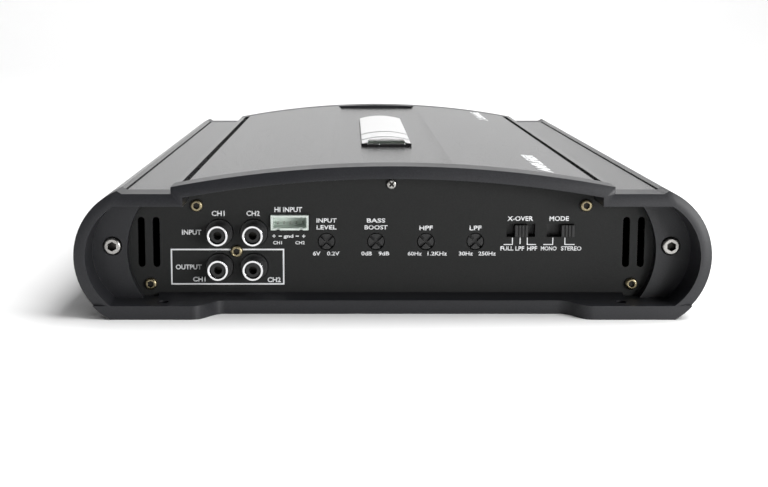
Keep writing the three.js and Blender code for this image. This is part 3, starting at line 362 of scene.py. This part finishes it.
def done():
    """Ends the editing that select_where began."""
    bpy.ops.object.mode_set(mode="OBJECT")


def joined(name, first, *others):
    """Joins loose solids into one object."""
    pick(first)
    for other in others:
        other.select_set(True)
    bpy.ops.object.join()
    first.name = name
    first.data.name = name
    return first


def copied(source, name, offset):
    """A copy with its own mesh, moved by offset."""
    obj = bpy.data.objects.new(name, source.data.copy())
    obj.data.name = name
    bpy.context.scene.collection.objects.link(obj)
    obj.location = offset
    return settle(obj)


def finished(obj, body, material, slot, *replaced):
    """Gives a piece its finish, its body and the nodes that it stands for."""
    if not obj.data.materials:
        obj.data.materials.append(material)
    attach(obj, body)
    if replaced:
        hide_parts(*replaced)
    return obj


def dressed(node, material, slot, width, segments=2):
    """A copy of a CAD node with its faces merged and its edges rounded, standing for it."""
    obj = bpy.data.objects.new(node + "_shell", NODES[node].data.copy())
    obj.data.name = obj.name
    obj.data.materials.clear()
    bpy.context.scene.collection.objects.link(obj)
    pick(obj)
    bpy.ops.object.mode_set(mode="EDIT")
    bpy.ops.mesh.select_all(action="SELECT")
    bpy.ops.mesh.remove_doubles(threshold=0.002 * MM)
    flat = math.radians(0.6)
    bpy.ops.mesh.dissolve_limited(angle_limit=flat)
    done()
    soften(obj, width, segments)
    return finished(obj, NODES[node]["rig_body"], material, slot, node)


def finish_node(node, material):
    """Gives a CAD node that is shown as it is its material."""
    mesh = NODES[node].data
    mesh.materials.clear()
    mesh.materials.append(material)


# ---- The case ----


def make_case():
    dressed("heat_sink", ANODISED, "anodised_aluminium", 0.2 * MM)
    for node in ("front_end_cap", "rear_end_cap"):
        dressed(node, CAST, "cast_paint", 0.5 * MM, 3)
    dressed("control_panel", SHEET, "sheet_paint", 0.12 * MM)
    dressed("terminal_panel", SHEET, "sheet_paint", 0.12 * MM)
    dressed("bottom_plate", SHEET, "sheet_paint", 0.15 * MM)


# ---- Screws ----


HEX_REACH = 0.56  # shares of a head's radius
CROSS_REACH = 0.62
CROSS_HALF_WIDTH = 0.17
# Painted shade inside a recess covers faces within this share of a head's radius from its axis, and below
# this share of its rise above its seat.
PAINTED_SHADE_REACH = 0.6
RECESS_DEPTH = 0.8  # shares of a head's rise
PAINTED_SHADE_HEIGHT = 0.85


def machine_screw(name, seat, outward, radius, rise, shank, reach, crown, recess, material):
    """A crowned head on a shank, seated at seat, its head towards -Y or +Y as outward says."""
    screw = cylinder(name, seat + Vector((0, outward * rise / 2, 0)), radius, rise)
    select_where(screw, lambda face: face.normal.y * outward < -FACING)
    bpy.ops.mesh.inset(thickness=radius - shank)
    bpy.ops.mesh.extrude_region_move(TRANSFORM_OT_translate={"value": (0, -outward * reach, 0)})
    done()
    select_where(screw, lambda face: face.normal.y * outward > FACING)
    bpy.ops.mesh.bevel(offset=crown, segments=5, affect="EDGES")
    done()
    cut(screw, *recess_tools(seat + Vector((0, outward * rise, 0)), radius, rise, recess))
    soften(screw, 0.08 * MM)
    # The faces inside the recess get painted shade.
    return paint_recess_shade(screw, seat, outward, PAINTED_SHADE_REACH * radius, PAINTED_SHADE_HEIGHT * rise, material)


def paint_recess_shade(screw, seat, outward, reach, crown, material):
    """Paints shade on what lies within reach of the axis and below the crown: a near-black finish standing
    in for the shade inside the recess.
    """
    for finish in (material, RECESS_PAINTED_SHADE):
        screw.data.materials.append(finish)
    for face in screw.data.polygons:
        place = face.center - seat
        from_axis = math.hypot(place.x, place.z)
        height = place.y * outward
        inside = from_axis < reach and 0 < height < crown
        face.material_index = int(inside)
    return screw


def recess_tools(crown, radius, rise, recess):
    """What a hex key or a cross driver leaves in a head whose crown is at that point."""
    depth = RECESS_DEPTH * rise
    if recess == "hex":
        return [cylinder("hex_socket", crown, HEX_REACH * radius, 2 * depth, sides=6)]
    long, short = CROSS_REACH * radius, CROSS_HALF_WIDTH * radius
    arms = []
    for x, z in ((long, short), (short, long)):
        reach = Vector((x, depth, z))
        arm = cuboid("cross_arm", crown - reach, crown + reach)
        quarter = math.pi / 4
        bpy.ops.transform.rotate(value=quarter, orient_axis="Y", center_override=crown)
        arms.append(settle(arm))
    return arms


def fit_screws(nodes, rise, shank, crown, recess, material, slot):
    """The same screw in each node's place, standing for it."""
    low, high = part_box(nodes[0])
    outward = math.copysign(1, low.y)
    front = low.y if outward < 0 else high.y
    place = middle(nodes[0])
    seat = Vector((place.x, front - outward * rise, place.z))
    reach = high.y - low.y - rise
    radius = (high.x - low.x) / 2
    sizes = (radius, rise, shank, reach, crown, recess, material)
    first = machine_screw(nodes[0] + "_steel", seat, outward, *sizes)
    for node in nodes:
        piece = first if node == nodes[0] else copied(first, node + "_steel", middle(node) - place)
        finished(piece, NODES[node]["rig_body"], material, slot, node)
    return first


def repeated(screw, name, place, material, slot):
    """One more such screw, its middle at that X and Z."""
    low = Vector(screw.bound_box[0])
    high = Vector(screw.bound_box[6])
    now = (low + high) / 2
    piece = copied(screw, name, Vector((place.x - now.x, 0, place.z - now.z)))
    return finished(piece, CASE, material, slot)


def make_screws():
    for end in ("front", "rear"):
        nodes = [f"{end}_cap_screw_left", f"{end}_cap_screw_right"]
        fit_screws(nodes, 3.4 * MM, 1.9 * MM, 0.8 * MM, "hex", STEEL, "steel")
    corners = [f"control_panel_screw_{i}" for i in range(1, 5)]
    button = (1.6 * MM, 1.4 * MM, 0.9 * MM, "hex", BRASS, "brass")
    fit_screws(corners + ["rca_block_screw"], *button)
    crossed = (1.3 * MM, 1.4 * MM, 0.7 * MM, "cross", STEEL, "steel")
    fit_screws(["control_panel_screw_5"], *crossed)
    rear = fit_screws(["terminal_panel_screw_1", "terminal_panel_screw_2"], *button)
    for i in (3, 4):
        place = middle(f"control_panel_screw_{i}")
        repeated(rear, f"terminal_panel_screw_{i}", place, BRASS, "brass")
    top = middle("control_panel_screw_5")
    repeated(rear, "terminal_panel_screw_5", top, BRASS, "brass")
    make_plate_screws()


def make_plate_screws():
    """Flat heads under the case, below the board's stand-offs."""
    low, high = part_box("bottom_plate")
    radius, thickness, edge, depth = 3 * MM, 0.7 * MM, 0.35 * MM, 0.45 * MM
    head = cylinder("plate_screw_1", (0, 0, low.z - thickness / 2), radius, thickness, axis="Z")
    select_where(head, lambda face: face.normal.z < -FACING)
    bpy.ops.mesh.bevel(offset=edge, segments=3, affect="EDGES")
    done()
    long, short = CROSS_REACH * radius, 0.42 * MM
    for x, y in ((long, short), (short, long)):
        reach = Vector((x, y, depth))
        centre = Vector((0, 0, low.z - thickness))
        cut(head, cuboid("cross_arm", centre - reach, centre + reach))
    soften(head, 0.06 * MM)
    across = 0.8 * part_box("circuit_board")[1].x
    along = 0.8 * high.y
    spots = [(side * across, end * along) for side in (-1, 1) for end in (-1, 0, 1)]
    for i, (x, y) in enumerate(spots, 1):
        piece = copied(head, f"plate_screw_{i}", (x, y, 0))
        finished(piece, CASE, OXIDE, "black_oxide")
    bpy.data.objects.remove(head)


# ---- Controls ----


def make_controls():
    for node in KNOBS:
        dressed(node, KNOB_BLACK, "black_plastic", 0.12 * MM)
    for node in ("crossover_slider", "mode_slider"):
        dressed(node, KNOB_BLACK, "black_plastic", 0.08 * MM)


# ---- Signal sockets ----


def make_rca_sockets():
    dressed("rca_block", BLACK, "black_plastic", 0.15 * MM)
    for i, node in enumerate(RCA_SHELLS, 1):
        dressed(node, CHROME, "chrome", 0.15 * MM)
        centre_contact(f"rca_contact_{i}", middle(node))


def centre_contact(name, place):
    """The sprung sleeve in the middle of a socket, with painted shade on the faces inside its bore."""
    set_back, radius, wall, depth = 1.2 * MM, 2.4 * MM, 0.5 * MM, 6 * MM
    bore_depth = 0.8 * depth
    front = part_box("rca_shell_1")[0].y + set_back
    sleeve = cylinder(name, (place.x, front + depth / 2, place.z), radius, depth, sides=32)
    select_where(sleeve, lambda face: face.normal.y < -FACING)
    bpy.ops.mesh.inset(thickness=wall)
    bpy.ops.mesh.extrude_region_move(TRANSFORM_OT_translate={"value": (0, bore_depth, 0)})
    done()
    soften(sleeve, 0.08 * MM)
    back = Vector((place.x, front + depth, place.z))
    margin = 0.05 * MM
    # Painted shade down the sleeve's bore.
    paint_recess_shade(sleeve, back, -1, radius - wall + margin, depth - margin, STEEL)
    finished(sleeve, CASE, STEEL, "steel")


def make_hi_input():
    """The five-pin header and its pins."""
    dressed("hi_input_header", WHITE, "white_plastic", 0.15 * MM)
    low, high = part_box("hi_input_header")
    pins, pitch, half, stem, tip = 5, 2.49 * MM, 0.32 * MM, 4 * MM, 1 * MM
    tip_width = 0.45
    cavity_depth, drop = 8 * MM, 4 * MM
    floor = low.y + cavity_depth
    middle_x = (low.x + high.x) / 2
    z = high.z - drop
    for i in range(pins):
        x = middle_x + (i - (pins - 1) / 2) * pitch
        name = f"hi_input_pin_{i + 1}"
        pin = cuboid(name, (x - half, floor - stem, z - half), (x + half, floor, z + half))
        select_where(pin, lambda face: face.normal.y < -FACING)
        bpy.ops.mesh.extrude_region_move(TRANSFORM_OT_translate={"value": (0, -tip, 0)})
        bpy.ops.transform.resize(value=(tip_width, 1, tip_width))
        done()
        soften(pin, 0.05 * MM)
        finished(pin, CASE, TIN, "steel")


# ---- Badge ----


def make_badge():
    """A crowned bright bar on a dark base, with a clear block let into its near end."""
    low, high = BADGE_LOW, BADGE_HIGH
    foot_height, rebate = 0.7 * MM, 0.3 * MM
    base_top = low.z + foot_height
    base = cuboid("badge_foot", low, (high.x, high.y, base_top))
    soften(base, 0.2 * MM)
    finished(base, CASE, BLACK, "black_plastic", "badge_base")

    notch_x, notch_y = 0.74 * high.x, low.y + 7.5 * MM
    steps = (low.y + 0.6 * MM, -58 * MM, -36 * MM, high.y - 0.4 * MM)
    drops = (0.5 * MM, 0.25 * MM, 0)  # how far below the top each length of the bar lies
    for i, drop in enumerate(drops):
        name = f"badge_bar_{i + 1}"
        bar = crowned_bar(name, steps[i], steps[i + 1], high.x - rebate, base_top, drop)
        if i == 0:
            corner = (-notch_x, low.y - MM, low.z)
            cut(bar, cuboid("badge_notch", corner, (notch_x, notch_y, high.z + MM)))
        soften(bar, 0.15 * MM)
        finished(bar, CASE, BADGE_WHITE, "chrome")

    gap, set_back, drop = 0.15 * MM, 1.2 * MM, 1.1 * MM
    border, lean, crown = 0.8 * MM, 0.3 * MM, 0.45 * MM
    near_corner = (gap - notch_x, low.y + set_back, base_top)
    far_corner = (notch_x - gap, notch_y - gap, high.z - drop)
    block = cuboid("badge_window", near_corner, far_corner)
    select_where(block, lambda face: face.normal.z > FACING)
    bpy.ops.mesh.inset(thickness=border)
    bpy.ops.transform.translate(value=(0, lean, crown))
    done()
    soften(block, 0.15 * MM)
    finished(block, CASE, ACRYLIC, "white_plastic")
    make_badge_lip(notch_x, base_top)


def crowned_bar(name, near, far, half, floor, drop):
    """A long bar whose top is an arc, drop below the badge's top, cut out of a round rod."""
    rise = 1.6 * MM
    radius = (half**2 + rise**2) / (2 * rise)
    centre = (0, (near + far) / 2, BADGE_HIGH.z - drop - radius)
    bar = cylinder(name, centre, radius, far - near, sides=360)
    bisected(bar, (0, 0, floor), (0, 0, -1))
    bisected(bar, (half, 0, 0), (1, 0, 0))
    return bisected(bar, (-half, 0, 0), (-1, 0, 0))


def bisected(obj, point, away):
    """Cuts obj at a plane, drops what lies on its far side and closes it."""
    select_where(obj, lambda face: True)
    bpy.ops.mesh.bisect(plane_co=point, plane_no=away, use_fill=True, clear_outer=True)
    done()
    return obj


def make_badge_lip(notch_x, base_top):
    """The bright edge under the clear block, in two lengths, with a dark shoe at each corner."""
    near = BADGE_LOW.y + 0.05 * MM
    far = BADGE_LOW.y + 1.1 * MM
    shoe_far = BADGE_LOW.y + 0.6 * MM
    top = base_top + 0.75 * MM
    split, gap = -0.35 * notch_x, 0.2 * MM
    for name, left, right in (("left", -notch_x, split - gap), ("right", split + gap, notch_x)):
        lip = cuboid(f"badge_lip_{name}", (left, near, base_top), (right, far, top))
        soften(lip, 0.2 * MM)
        finished(lip, CASE, CHROME, "chrome")
    half = BADGE_HIGH.x
    for name, left, right in (("left", -half, -notch_x - gap), ("right", notch_x + gap, half)):
        shoe = cuboid(f"badge_shoe_{name}", (left, near, base_top), (right, shoe_far, top))
        soften(shoe, 0.25 * MM)
        finished(shoe, CASE, BLACK, "black_plastic")


# ---- Terminal end ----


def make_terminals():
    bays = (("power_terminal_block", POWER_SCREWS), ("speaker_terminal_block", SPEAKER_SCREWS))
    wall, gap = 1.8 * MM, 0.5 * MM
    for block, screws in bays:
        dressed(block, BLACK, "black_plastic", 0.25 * MM)
        fit_screws(screws, 2.6 * MM, 1.9 * MM, 0.9 * MM, "cross", STEEL, "steel")
        pitch = middle(screws[1]).x - middle(screws[0]).x
        half = (pitch - wall) / 2 - gap
        for screw in screws:
            clamp_plate(screw + "_clamp", middle(screw), half)


def clamp_plate(name, place, half):
    """The square washer that holds a wire down, its two sides turned up beside the screw."""
    seat = TERMINAL_FACE + 4.6 * MM
    thickness, lip, rise, tall = 1.2 * MM, 0.5 * MM, 1.3 * MM, 5 * MM
    inner = half - lip
    low = (place.x - inner, seat, place.z - tall)
    plate = cuboid(name, low, (place.x + inner, seat + thickness, place.z + tall))
    select_where(plate, lambda face: abs(face.normal.x) > FACING)
    bpy.ops.mesh.extrude_region_shrink_fatten(TRANSFORM_OT_shrink_fatten={"value": lip})
    done()
    select_where(plate, lambda f: f.normal.y > FACING and abs(f.center.x - place.x) > inner)
    bpy.ops.mesh.extrude_region_move(TRANSFORM_OT_translate={"value": (0, rise, 0)})
    done()
    soften(plate, 0.15 * MM)
    finished(plate, CASE, STEEL, "steel")


def make_fuses():
    dressed("fuse_holder", BLACK, "black_plastic", 0.3 * MM)
    for node in ("fuse_1", "fuse_2"):
        fuse_housing(node)
        fuse_strip(node)
    dressed("status_led", LAMP, "lamp", 0.4 * MM, 4)


def fuse_housing(node):
    """The see-through head and the narrower body below it."""
    low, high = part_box(node)
    gap, ridge, shoulder, step, border = 0.3 * MM, 0.5 * MM, 6 * MM, 0.5 * MM, 1.3 * MM
    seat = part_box("fuse_holder")[1].y + gap
    head_low = (low.x, high.y - shoulder, low.z)
    housing = cuboid(node + "_housing", head_low, (high.x, high.y - ridge, high.z))
    select_where(housing, lambda face: face.normal.y < -FACING)
    bpy.ops.mesh.inset(thickness=step)
    depth = high.y - shoulder - seat
    bpy.ops.mesh.extrude_region_move(TRANSFORM_OT_translate={"value": (0, -depth, 0)})
    done()
    select_where(housing, lambda face: face.normal.y > FACING)
    bpy.ops.mesh.inset(thickness=border)
    bpy.ops.mesh.extrude_region_move(TRANSFORM_OT_translate={"value": (0, ridge, 0)})
    done()
    soften(housing, 0.25 * MM, 3)
    finished(housing, node, FUSE_GREEN, "fuse", node)


def fuse_strip(node):
    """Two blades, joined by the arched link that shows through the housing."""
    low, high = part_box(node)
    centre = middle(node)
    x, z = centre.x, centre.z
    half, half_width, link_width, arch_rise = 0.4 * MM, 2.1 * MM, 1.5 * MM, 2.6 * MM
    reach = 0.35 * (high.z - low.z)
    inside = high.y - 4.5 * MM
    blades = []
    for side in (-1, 1):
        near = z + side * reach - half_width
        far = z + side * reach + half_width
        blade = cuboid("blade", (x - half, low.y, near), (x + half, inside, far))
        soften(blade, 0.3 * MM)
        blades.append(blade)
    link_low = (x - half / 2, inside - link_width, z - reach)
    link = cuboid("link", link_low, (x + half / 2, inside, z + reach))
    select_where(link, lambda face: True)
    bpy.ops.mesh.subdivide(number_cuts=9)
    done()
    for vertex in link.data.vertices:
        vertex.co.y += arch_rise * math.cos((vertex.co.z - z) / reach * math.pi / 2)
    smooth(link)
    strip = joined(node + "_strip", *blades, link)
    finished(strip, node, TIN, "steel")


# ---- Print ----


def lettering(text, width, height):
    """A word as a flat mesh of that size, centred on the origin in the XY plane."""
    bpy.ops.object.select_all(action="DESELECT")
    bpy.ops.object.text_add()
    word = bpy.context.object
    word.data.body = text
    word.data.resolution_u = 3
    word.data.offset = 0.03
    bpy.ops.object.convert(target="MESH")
    word = bpy.context.object
    low, high = Vector(word.bound_box[0]), Vector(word.bound_box[6])
    scale = (width / (high.x - low.x), height / (high.y - low.y))
    word.scale = (*scale, 1)
    word.location = (-(low.x + high.x) / 2 * scale[0], -(low.y + high.y) / 2 * scale[1], 0)
    return settle(word)


def stood_up(mark, x, z, outward):
    """Puts a flat mark on the control face, or on the terminal face where outward is 1."""
    face = CONTROL_FACE if outward < 0 else TERMINAL_FACE
    mark.rotation_euler = (math.pi / 2, 0, 0 if outward < 0 else math.pi)
    mark.location = (x * MM, face + outward * INK, z * MM)
    return settle(mark)


def label(text, x, z, width, height, outward=-1):
    """A printed word, its middle at that place. All sizes are in millimetres."""
    return stood_up(lettering(text, width * MM, height * MM), x, z, outward)


def line(x, z, width, height, outward=-1):
    """A printed bar, its middle at that place. All sizes are in millimetres."""
    bpy.ops.object.select_all(action="DESELECT")
    bpy.ops.mesh.primitive_plane_add(size=1)
    bar = bpy.context.object
    bar.scale = (width * MM, height * MM, 1)
    return stood_up(bar, x, z, outward)


def printed(name, marks):
    """Joins printed marks and gives the ink its thickness."""
    ink = joined(name, *marks)
    modify(ink, "SOLIDIFY", thickness=INK, offset=-1)
    return finished(ink, CASE, PRINT, "white_plastic")


def make_control_print():
    marks = input_marks() + knob_marks() + switch_marks()
    printed("control_print", marks)


def input_marks():
    """The words round the sockets, and the box round the lower pair."""
    marks = [
        label("CH1", -69.9, 39.3, 5.3, 2.2),
        label("CH2", -55.8, 39.3, 5.4, 2.2),
        label("INPUT", -80.7, 31.6, 7.9, 2.1),
        label("OUTPUT", -82.1, 17.3, 10.5, 2.1),
        label("CH1", -77.9, 12.25, 5.1, 2.0),
        label("CH2", -47.5, 12.0, 5.4, 2.1),
        label("HI INPUT", -41.6, 40.85, 11.2, 2.1),
        label("gnd", -41.6, 29.8, 4.0, 1.8),
        label("CH1", -46.0, 27.3, 3.6, 1.4),
        label("CH2", -36.9, 27.3, 3.8, 1.4),
    ]
    sign_z, long, thin = 30.0, 1.3, 0.4
    for x, sign in ((-47.4, "+"), (-44.9, "-"), (-38.0, "-"), (-35.4, "+")):
        marks.append(line(x, sign_z, long, thin))
        if sign == "+":
            marks.append(line(x, sign_z, thin, long))
    left, right, low, high, thick = -89.0, -43.6, 10.3, 24.5, 0.6
    across, up = (left + right) / 2, (low + high) / 2
    for z in (low, high):
        marks.append(line(across, z, right - left + thick, thick))
    for x in (left, right):
        marks.append(line(x, up, thick, high - low - thick))
    return marks


def knob_marks():
    """Each knob's name above it and its range on either side of it."""
    names = {
        "level_knob": [("INPUT", 36.4, 8.1, 1.8), ("LEVEL", 33.6, 8.1, 1.8)],
        "boost_knob": [("BASS", 36.4, 7.5, 1.8), ("BOOST", 33.6, 9.3, 1.8)],
        "highpass_knob": [("HPF", 33.35, 5.5, 1.9)],
        "lowpass_knob": [("LPF", 33.35, 4.9, 1.9)],
    }
    ranges = {
        "level_knob": (("6V", -4.0, 3.1), ("0.2V", 2.7, 5.1)),
        "boost_knob": (("0dB", -3.8, 4.3), ("9dB", 3.2, 4.4)),
        "highpass_knob": (("60Hz", -4.5, 5.7), ("1.2KHz", 4.6, 7.9)),
        "lowpass_knob": (("30Hz", -3.8, 5.7), ("250Hz", 4.8, 7.1)),
    }
    range_z, range_tall = 22.85, 1.7
    marks = []
    for knob in KNOBS:
        x = middle(knob).x / MM
        marks += [label(word, x, z, width, tall) for word, z, width, tall in names[knob]]
        for word, shift, width in ranges[knob]:
            marks.append(label(word, x + shift, range_z, width, range_tall))
    return marks


def switch_marks():
    """The switches' names, and a tick down to each position's word."""
    marks = [label("X-OVER", 52.0, 37.2, 10.5, 2.0), label("MODE", 67.7, 37.2, 7.9, 2.0)]
    words = (
        ("FULL", 46.8, 5.3),
        ("LPF", 52.0, 3.6),
        ("HPF", 57.0, 4.1),
        ("MONO", 63.7, 6.4),
        ("STEREO", 72.8, 8.3),
    )
    word_z, word_tall = 24.95, 1.8
    marks += [label(word, x, word_z, width, word_tall) for word, x, width in words]
    low, high, thick = 26.55, 29.2, 0.38
    for x, foot in ((49.0, 45.6), (52.1, 52.1), (55.0, 58.4), (65.3, 61.7), (70.2, 74.0)):
        marks.append(line(x, (low + high) / 2 + thick / 2, thick, high - low))
        if foot != x:
            marks.append(line((x + foot) / 2, low, abs(foot - x) + thick, thick))
    return marks


def make_terminal_print():
    """The words over the terminals, the fuses and the lamp."""
    word_z, name_z, tall = 38.4, 44.0, 2.1
    marks = []
    for node, word, width in zip(POWER_SCREWS, ("GND", "REM", "+12V"), (6.2, 6.4, 7.6)):
        marks.append(label(word, middle(node).x / MM, word_z, width, tall, 1))
    for node, word in zip(SPEAKER_SCREWS, ("R -", "R +", "L -", "L +")):
        marks.append(label(word, middle(node).x / MM, word_z, 5.2, tall, 1))
    power_x = middle("power_terminal_block").x / MM
    speaker_x = middle("speaker_terminal_block").x / MM
    lamp = middle("status_led") / MM
    marks += [
        label("POWER INPUT", power_x, name_z, 23.0, 2.4, 1),
        label("SPEAKER OUTPUT", speaker_x, name_z, 30.0, 2.4, 1),
        label("FUSE 25A x 2", middle("fuse_holder").x / MM, 40.2, 17.5, tall, 1),
        label("POWER", lamp.x, lamp.z + 5.2, 8.6, 1.9, 1),
    ]
    rule_z, rule_width, rule_thickness = 41.4, 32.0, 0.4
    for x in (power_x, speaker_x):
        marks.append(line(x, rule_z, rule_width, rule_thickness, 1))
    printed("terminal_print", marks)


def make_top_print():
    """A word near each end of the top, to the right of its strip, wrapped onto its curve."""
    x, near, far, long, tall, lift = 62 * MM, 114.5 * MM, 115.5 * MM, 57 * MM, 6 * MM, 5 * MM
    words = []
    for text, y in (("AMPLIFIER", -near), ("2 CHANNEL", far)):
        word = lettering(text, long, tall)
        word.rotation_euler = (0, 0, math.pi / 2)
        word.location = (x, y, STRIP_TOP + lift)
        words.append(settle(word))
    ink = joined("top_print", *words)
    modify(
        ink,
        "SHRINKWRAP",
        wrap_method="PROJECT",
        use_project_z=True,
        use_negative_direction=True,
        target=bpy.data.objects["heat_sink_shell"],
        offset=INK,
    )
    modify(ink, "SOLIDIFY", thickness=INK, offset=-1)
    finished(ink, CASE, PRINT, "white_plastic")


# ---- Camera, light and floor ----


def make_camera():
    """Low in front of the control end, a little to its left."""
    data = bpy.data.cameras.new("camera")
    camera = bpy.data.objects.new("camera", data)
    bpy.context.scene.collection.objects.link(camera)
    camera.location = (-16.7 * MM, -621.8 * MM, 120.3 * MM)
    pitch = math.radians(7)
    camera.rotation_euler = (math.pi / 2 - pitch, 0, 0)
    data.sensor_width = 36
    data.lens = 56.5
    data.shift_x = 0.0443
    data.shift_y = -0.110
    data.clip_start = 0.01
    bpy.context.scene.camera = camera


def area_light(name, at, target, size, power):
    """A soft box of that size in metres and power in watts, turned towards target."""
    data = bpy.data.lights.new(name, "AREA")
    data.shape = "RECTANGLE"
    data.size, data.size_y = size
    data.energy = power
    light = bpy.data.objects.new(name, data)
    bpy.context.scene.collection.objects.link(light)
    light.location = at
    aim = Vector(target) - Vector(at)
    light.rotation_euler = aim.to_track_quat("-Z", "Y").to_euler()


def make_studio():
    bpy.context.scene.view_settings.view_transform = "Standard"
    area_light("overhead", (0.9, -0.2, 1.5), (0, -0.2, 0), (1.3, 1.4), 50)
    area_light("front_fill", (1.2, -1.5, 0.25), (0, -0.1, 0.04), (0.8, 0.4), 20)
    area_light("backdrop", (0, 1.4, 2.4), (0, 3.0, 0.6), (4, 1.0), 56)
    world = bpy.data.worlds.new("studio")
    world.use_nodes = True
    background = world.node_tree.nodes["Background"]
    background.inputs["Color"].default_value = (1, 1, 1, 1)
    background.inputs["Strength"].default_value = 0.07
    bpy.context.scene.world = world
    make_floor()


def make_floor():
    """A wide pale sheet that curves up behind the amplifier."""
    bpy.ops.object.select_all(action="DESELECT")
    bpy.ops.mesh.primitive_plane_add(size=1, location=(0, -0.5, 0))
    bpy.context.object.scale = (8, 7, 1)
    floor = settle(started("studio_floor"))
    back, wall_height, cove = 2.9, 4, 1.2
    ends = floor.data.vertices
    select_where(floor, lambda edge: all(ends[i].co.y > back for i in edge.vertices), "EDGE")
    bpy.ops.mesh.extrude_region_move(TRANSFORM_OT_translate={"value": (0, 0, wall_height)})
    done()
    modify(floor, "BEVEL", width=cove, segments=16, limit_method="ANGLE")
    pick(floor)
    bpy.ops.object.shade_smooth()
    material, tree, shader = new_material("studio_white", (0.90, 0.90, 0.90), 0.85)
    cloudy = noise(tree, coordinates(tree), 0.6)
    tone = mixed(tree, cloudy, (0.89, 0.89, 0.89), (0.91, 0.91, 0.91))
    tree.links.new(tone, shader.inputs["Base Color"])
    floor.data.materials.append(material)


def finish_inside_parts():
    """Materials for the nodes that keep their shape from the frame, most of them inside."""
    inside = {
        "circuit_board": BOARD,
        "transformer": COPPER,
        "capacitor_1": BLACK,
        "capacitor_2": BLACK,
        "transistor_clamp_left": STEEL,
        "transistor_clamp_right": STEEL,
        "crossover_switch_body": BLACK,
        "mode_switch_body": BLACK,
    }
    inside.update({f"transistor_{i}": OXIDE for i in range(1, 5)})
    inside.update({f"pot_body_{i}": BLACK for i in range(1, 5)})
    for node, material in inside.items():
        finish_node(node, material)


make_camera()
make_studio()
finish_inside_parts()
make_case()
make_screws()
make_controls()
make_rca_sockets()
make_hi_input()
make_badge()
make_terminals()
make_fuses()
make_control_print()
make_terminal_print()
make_top_print()
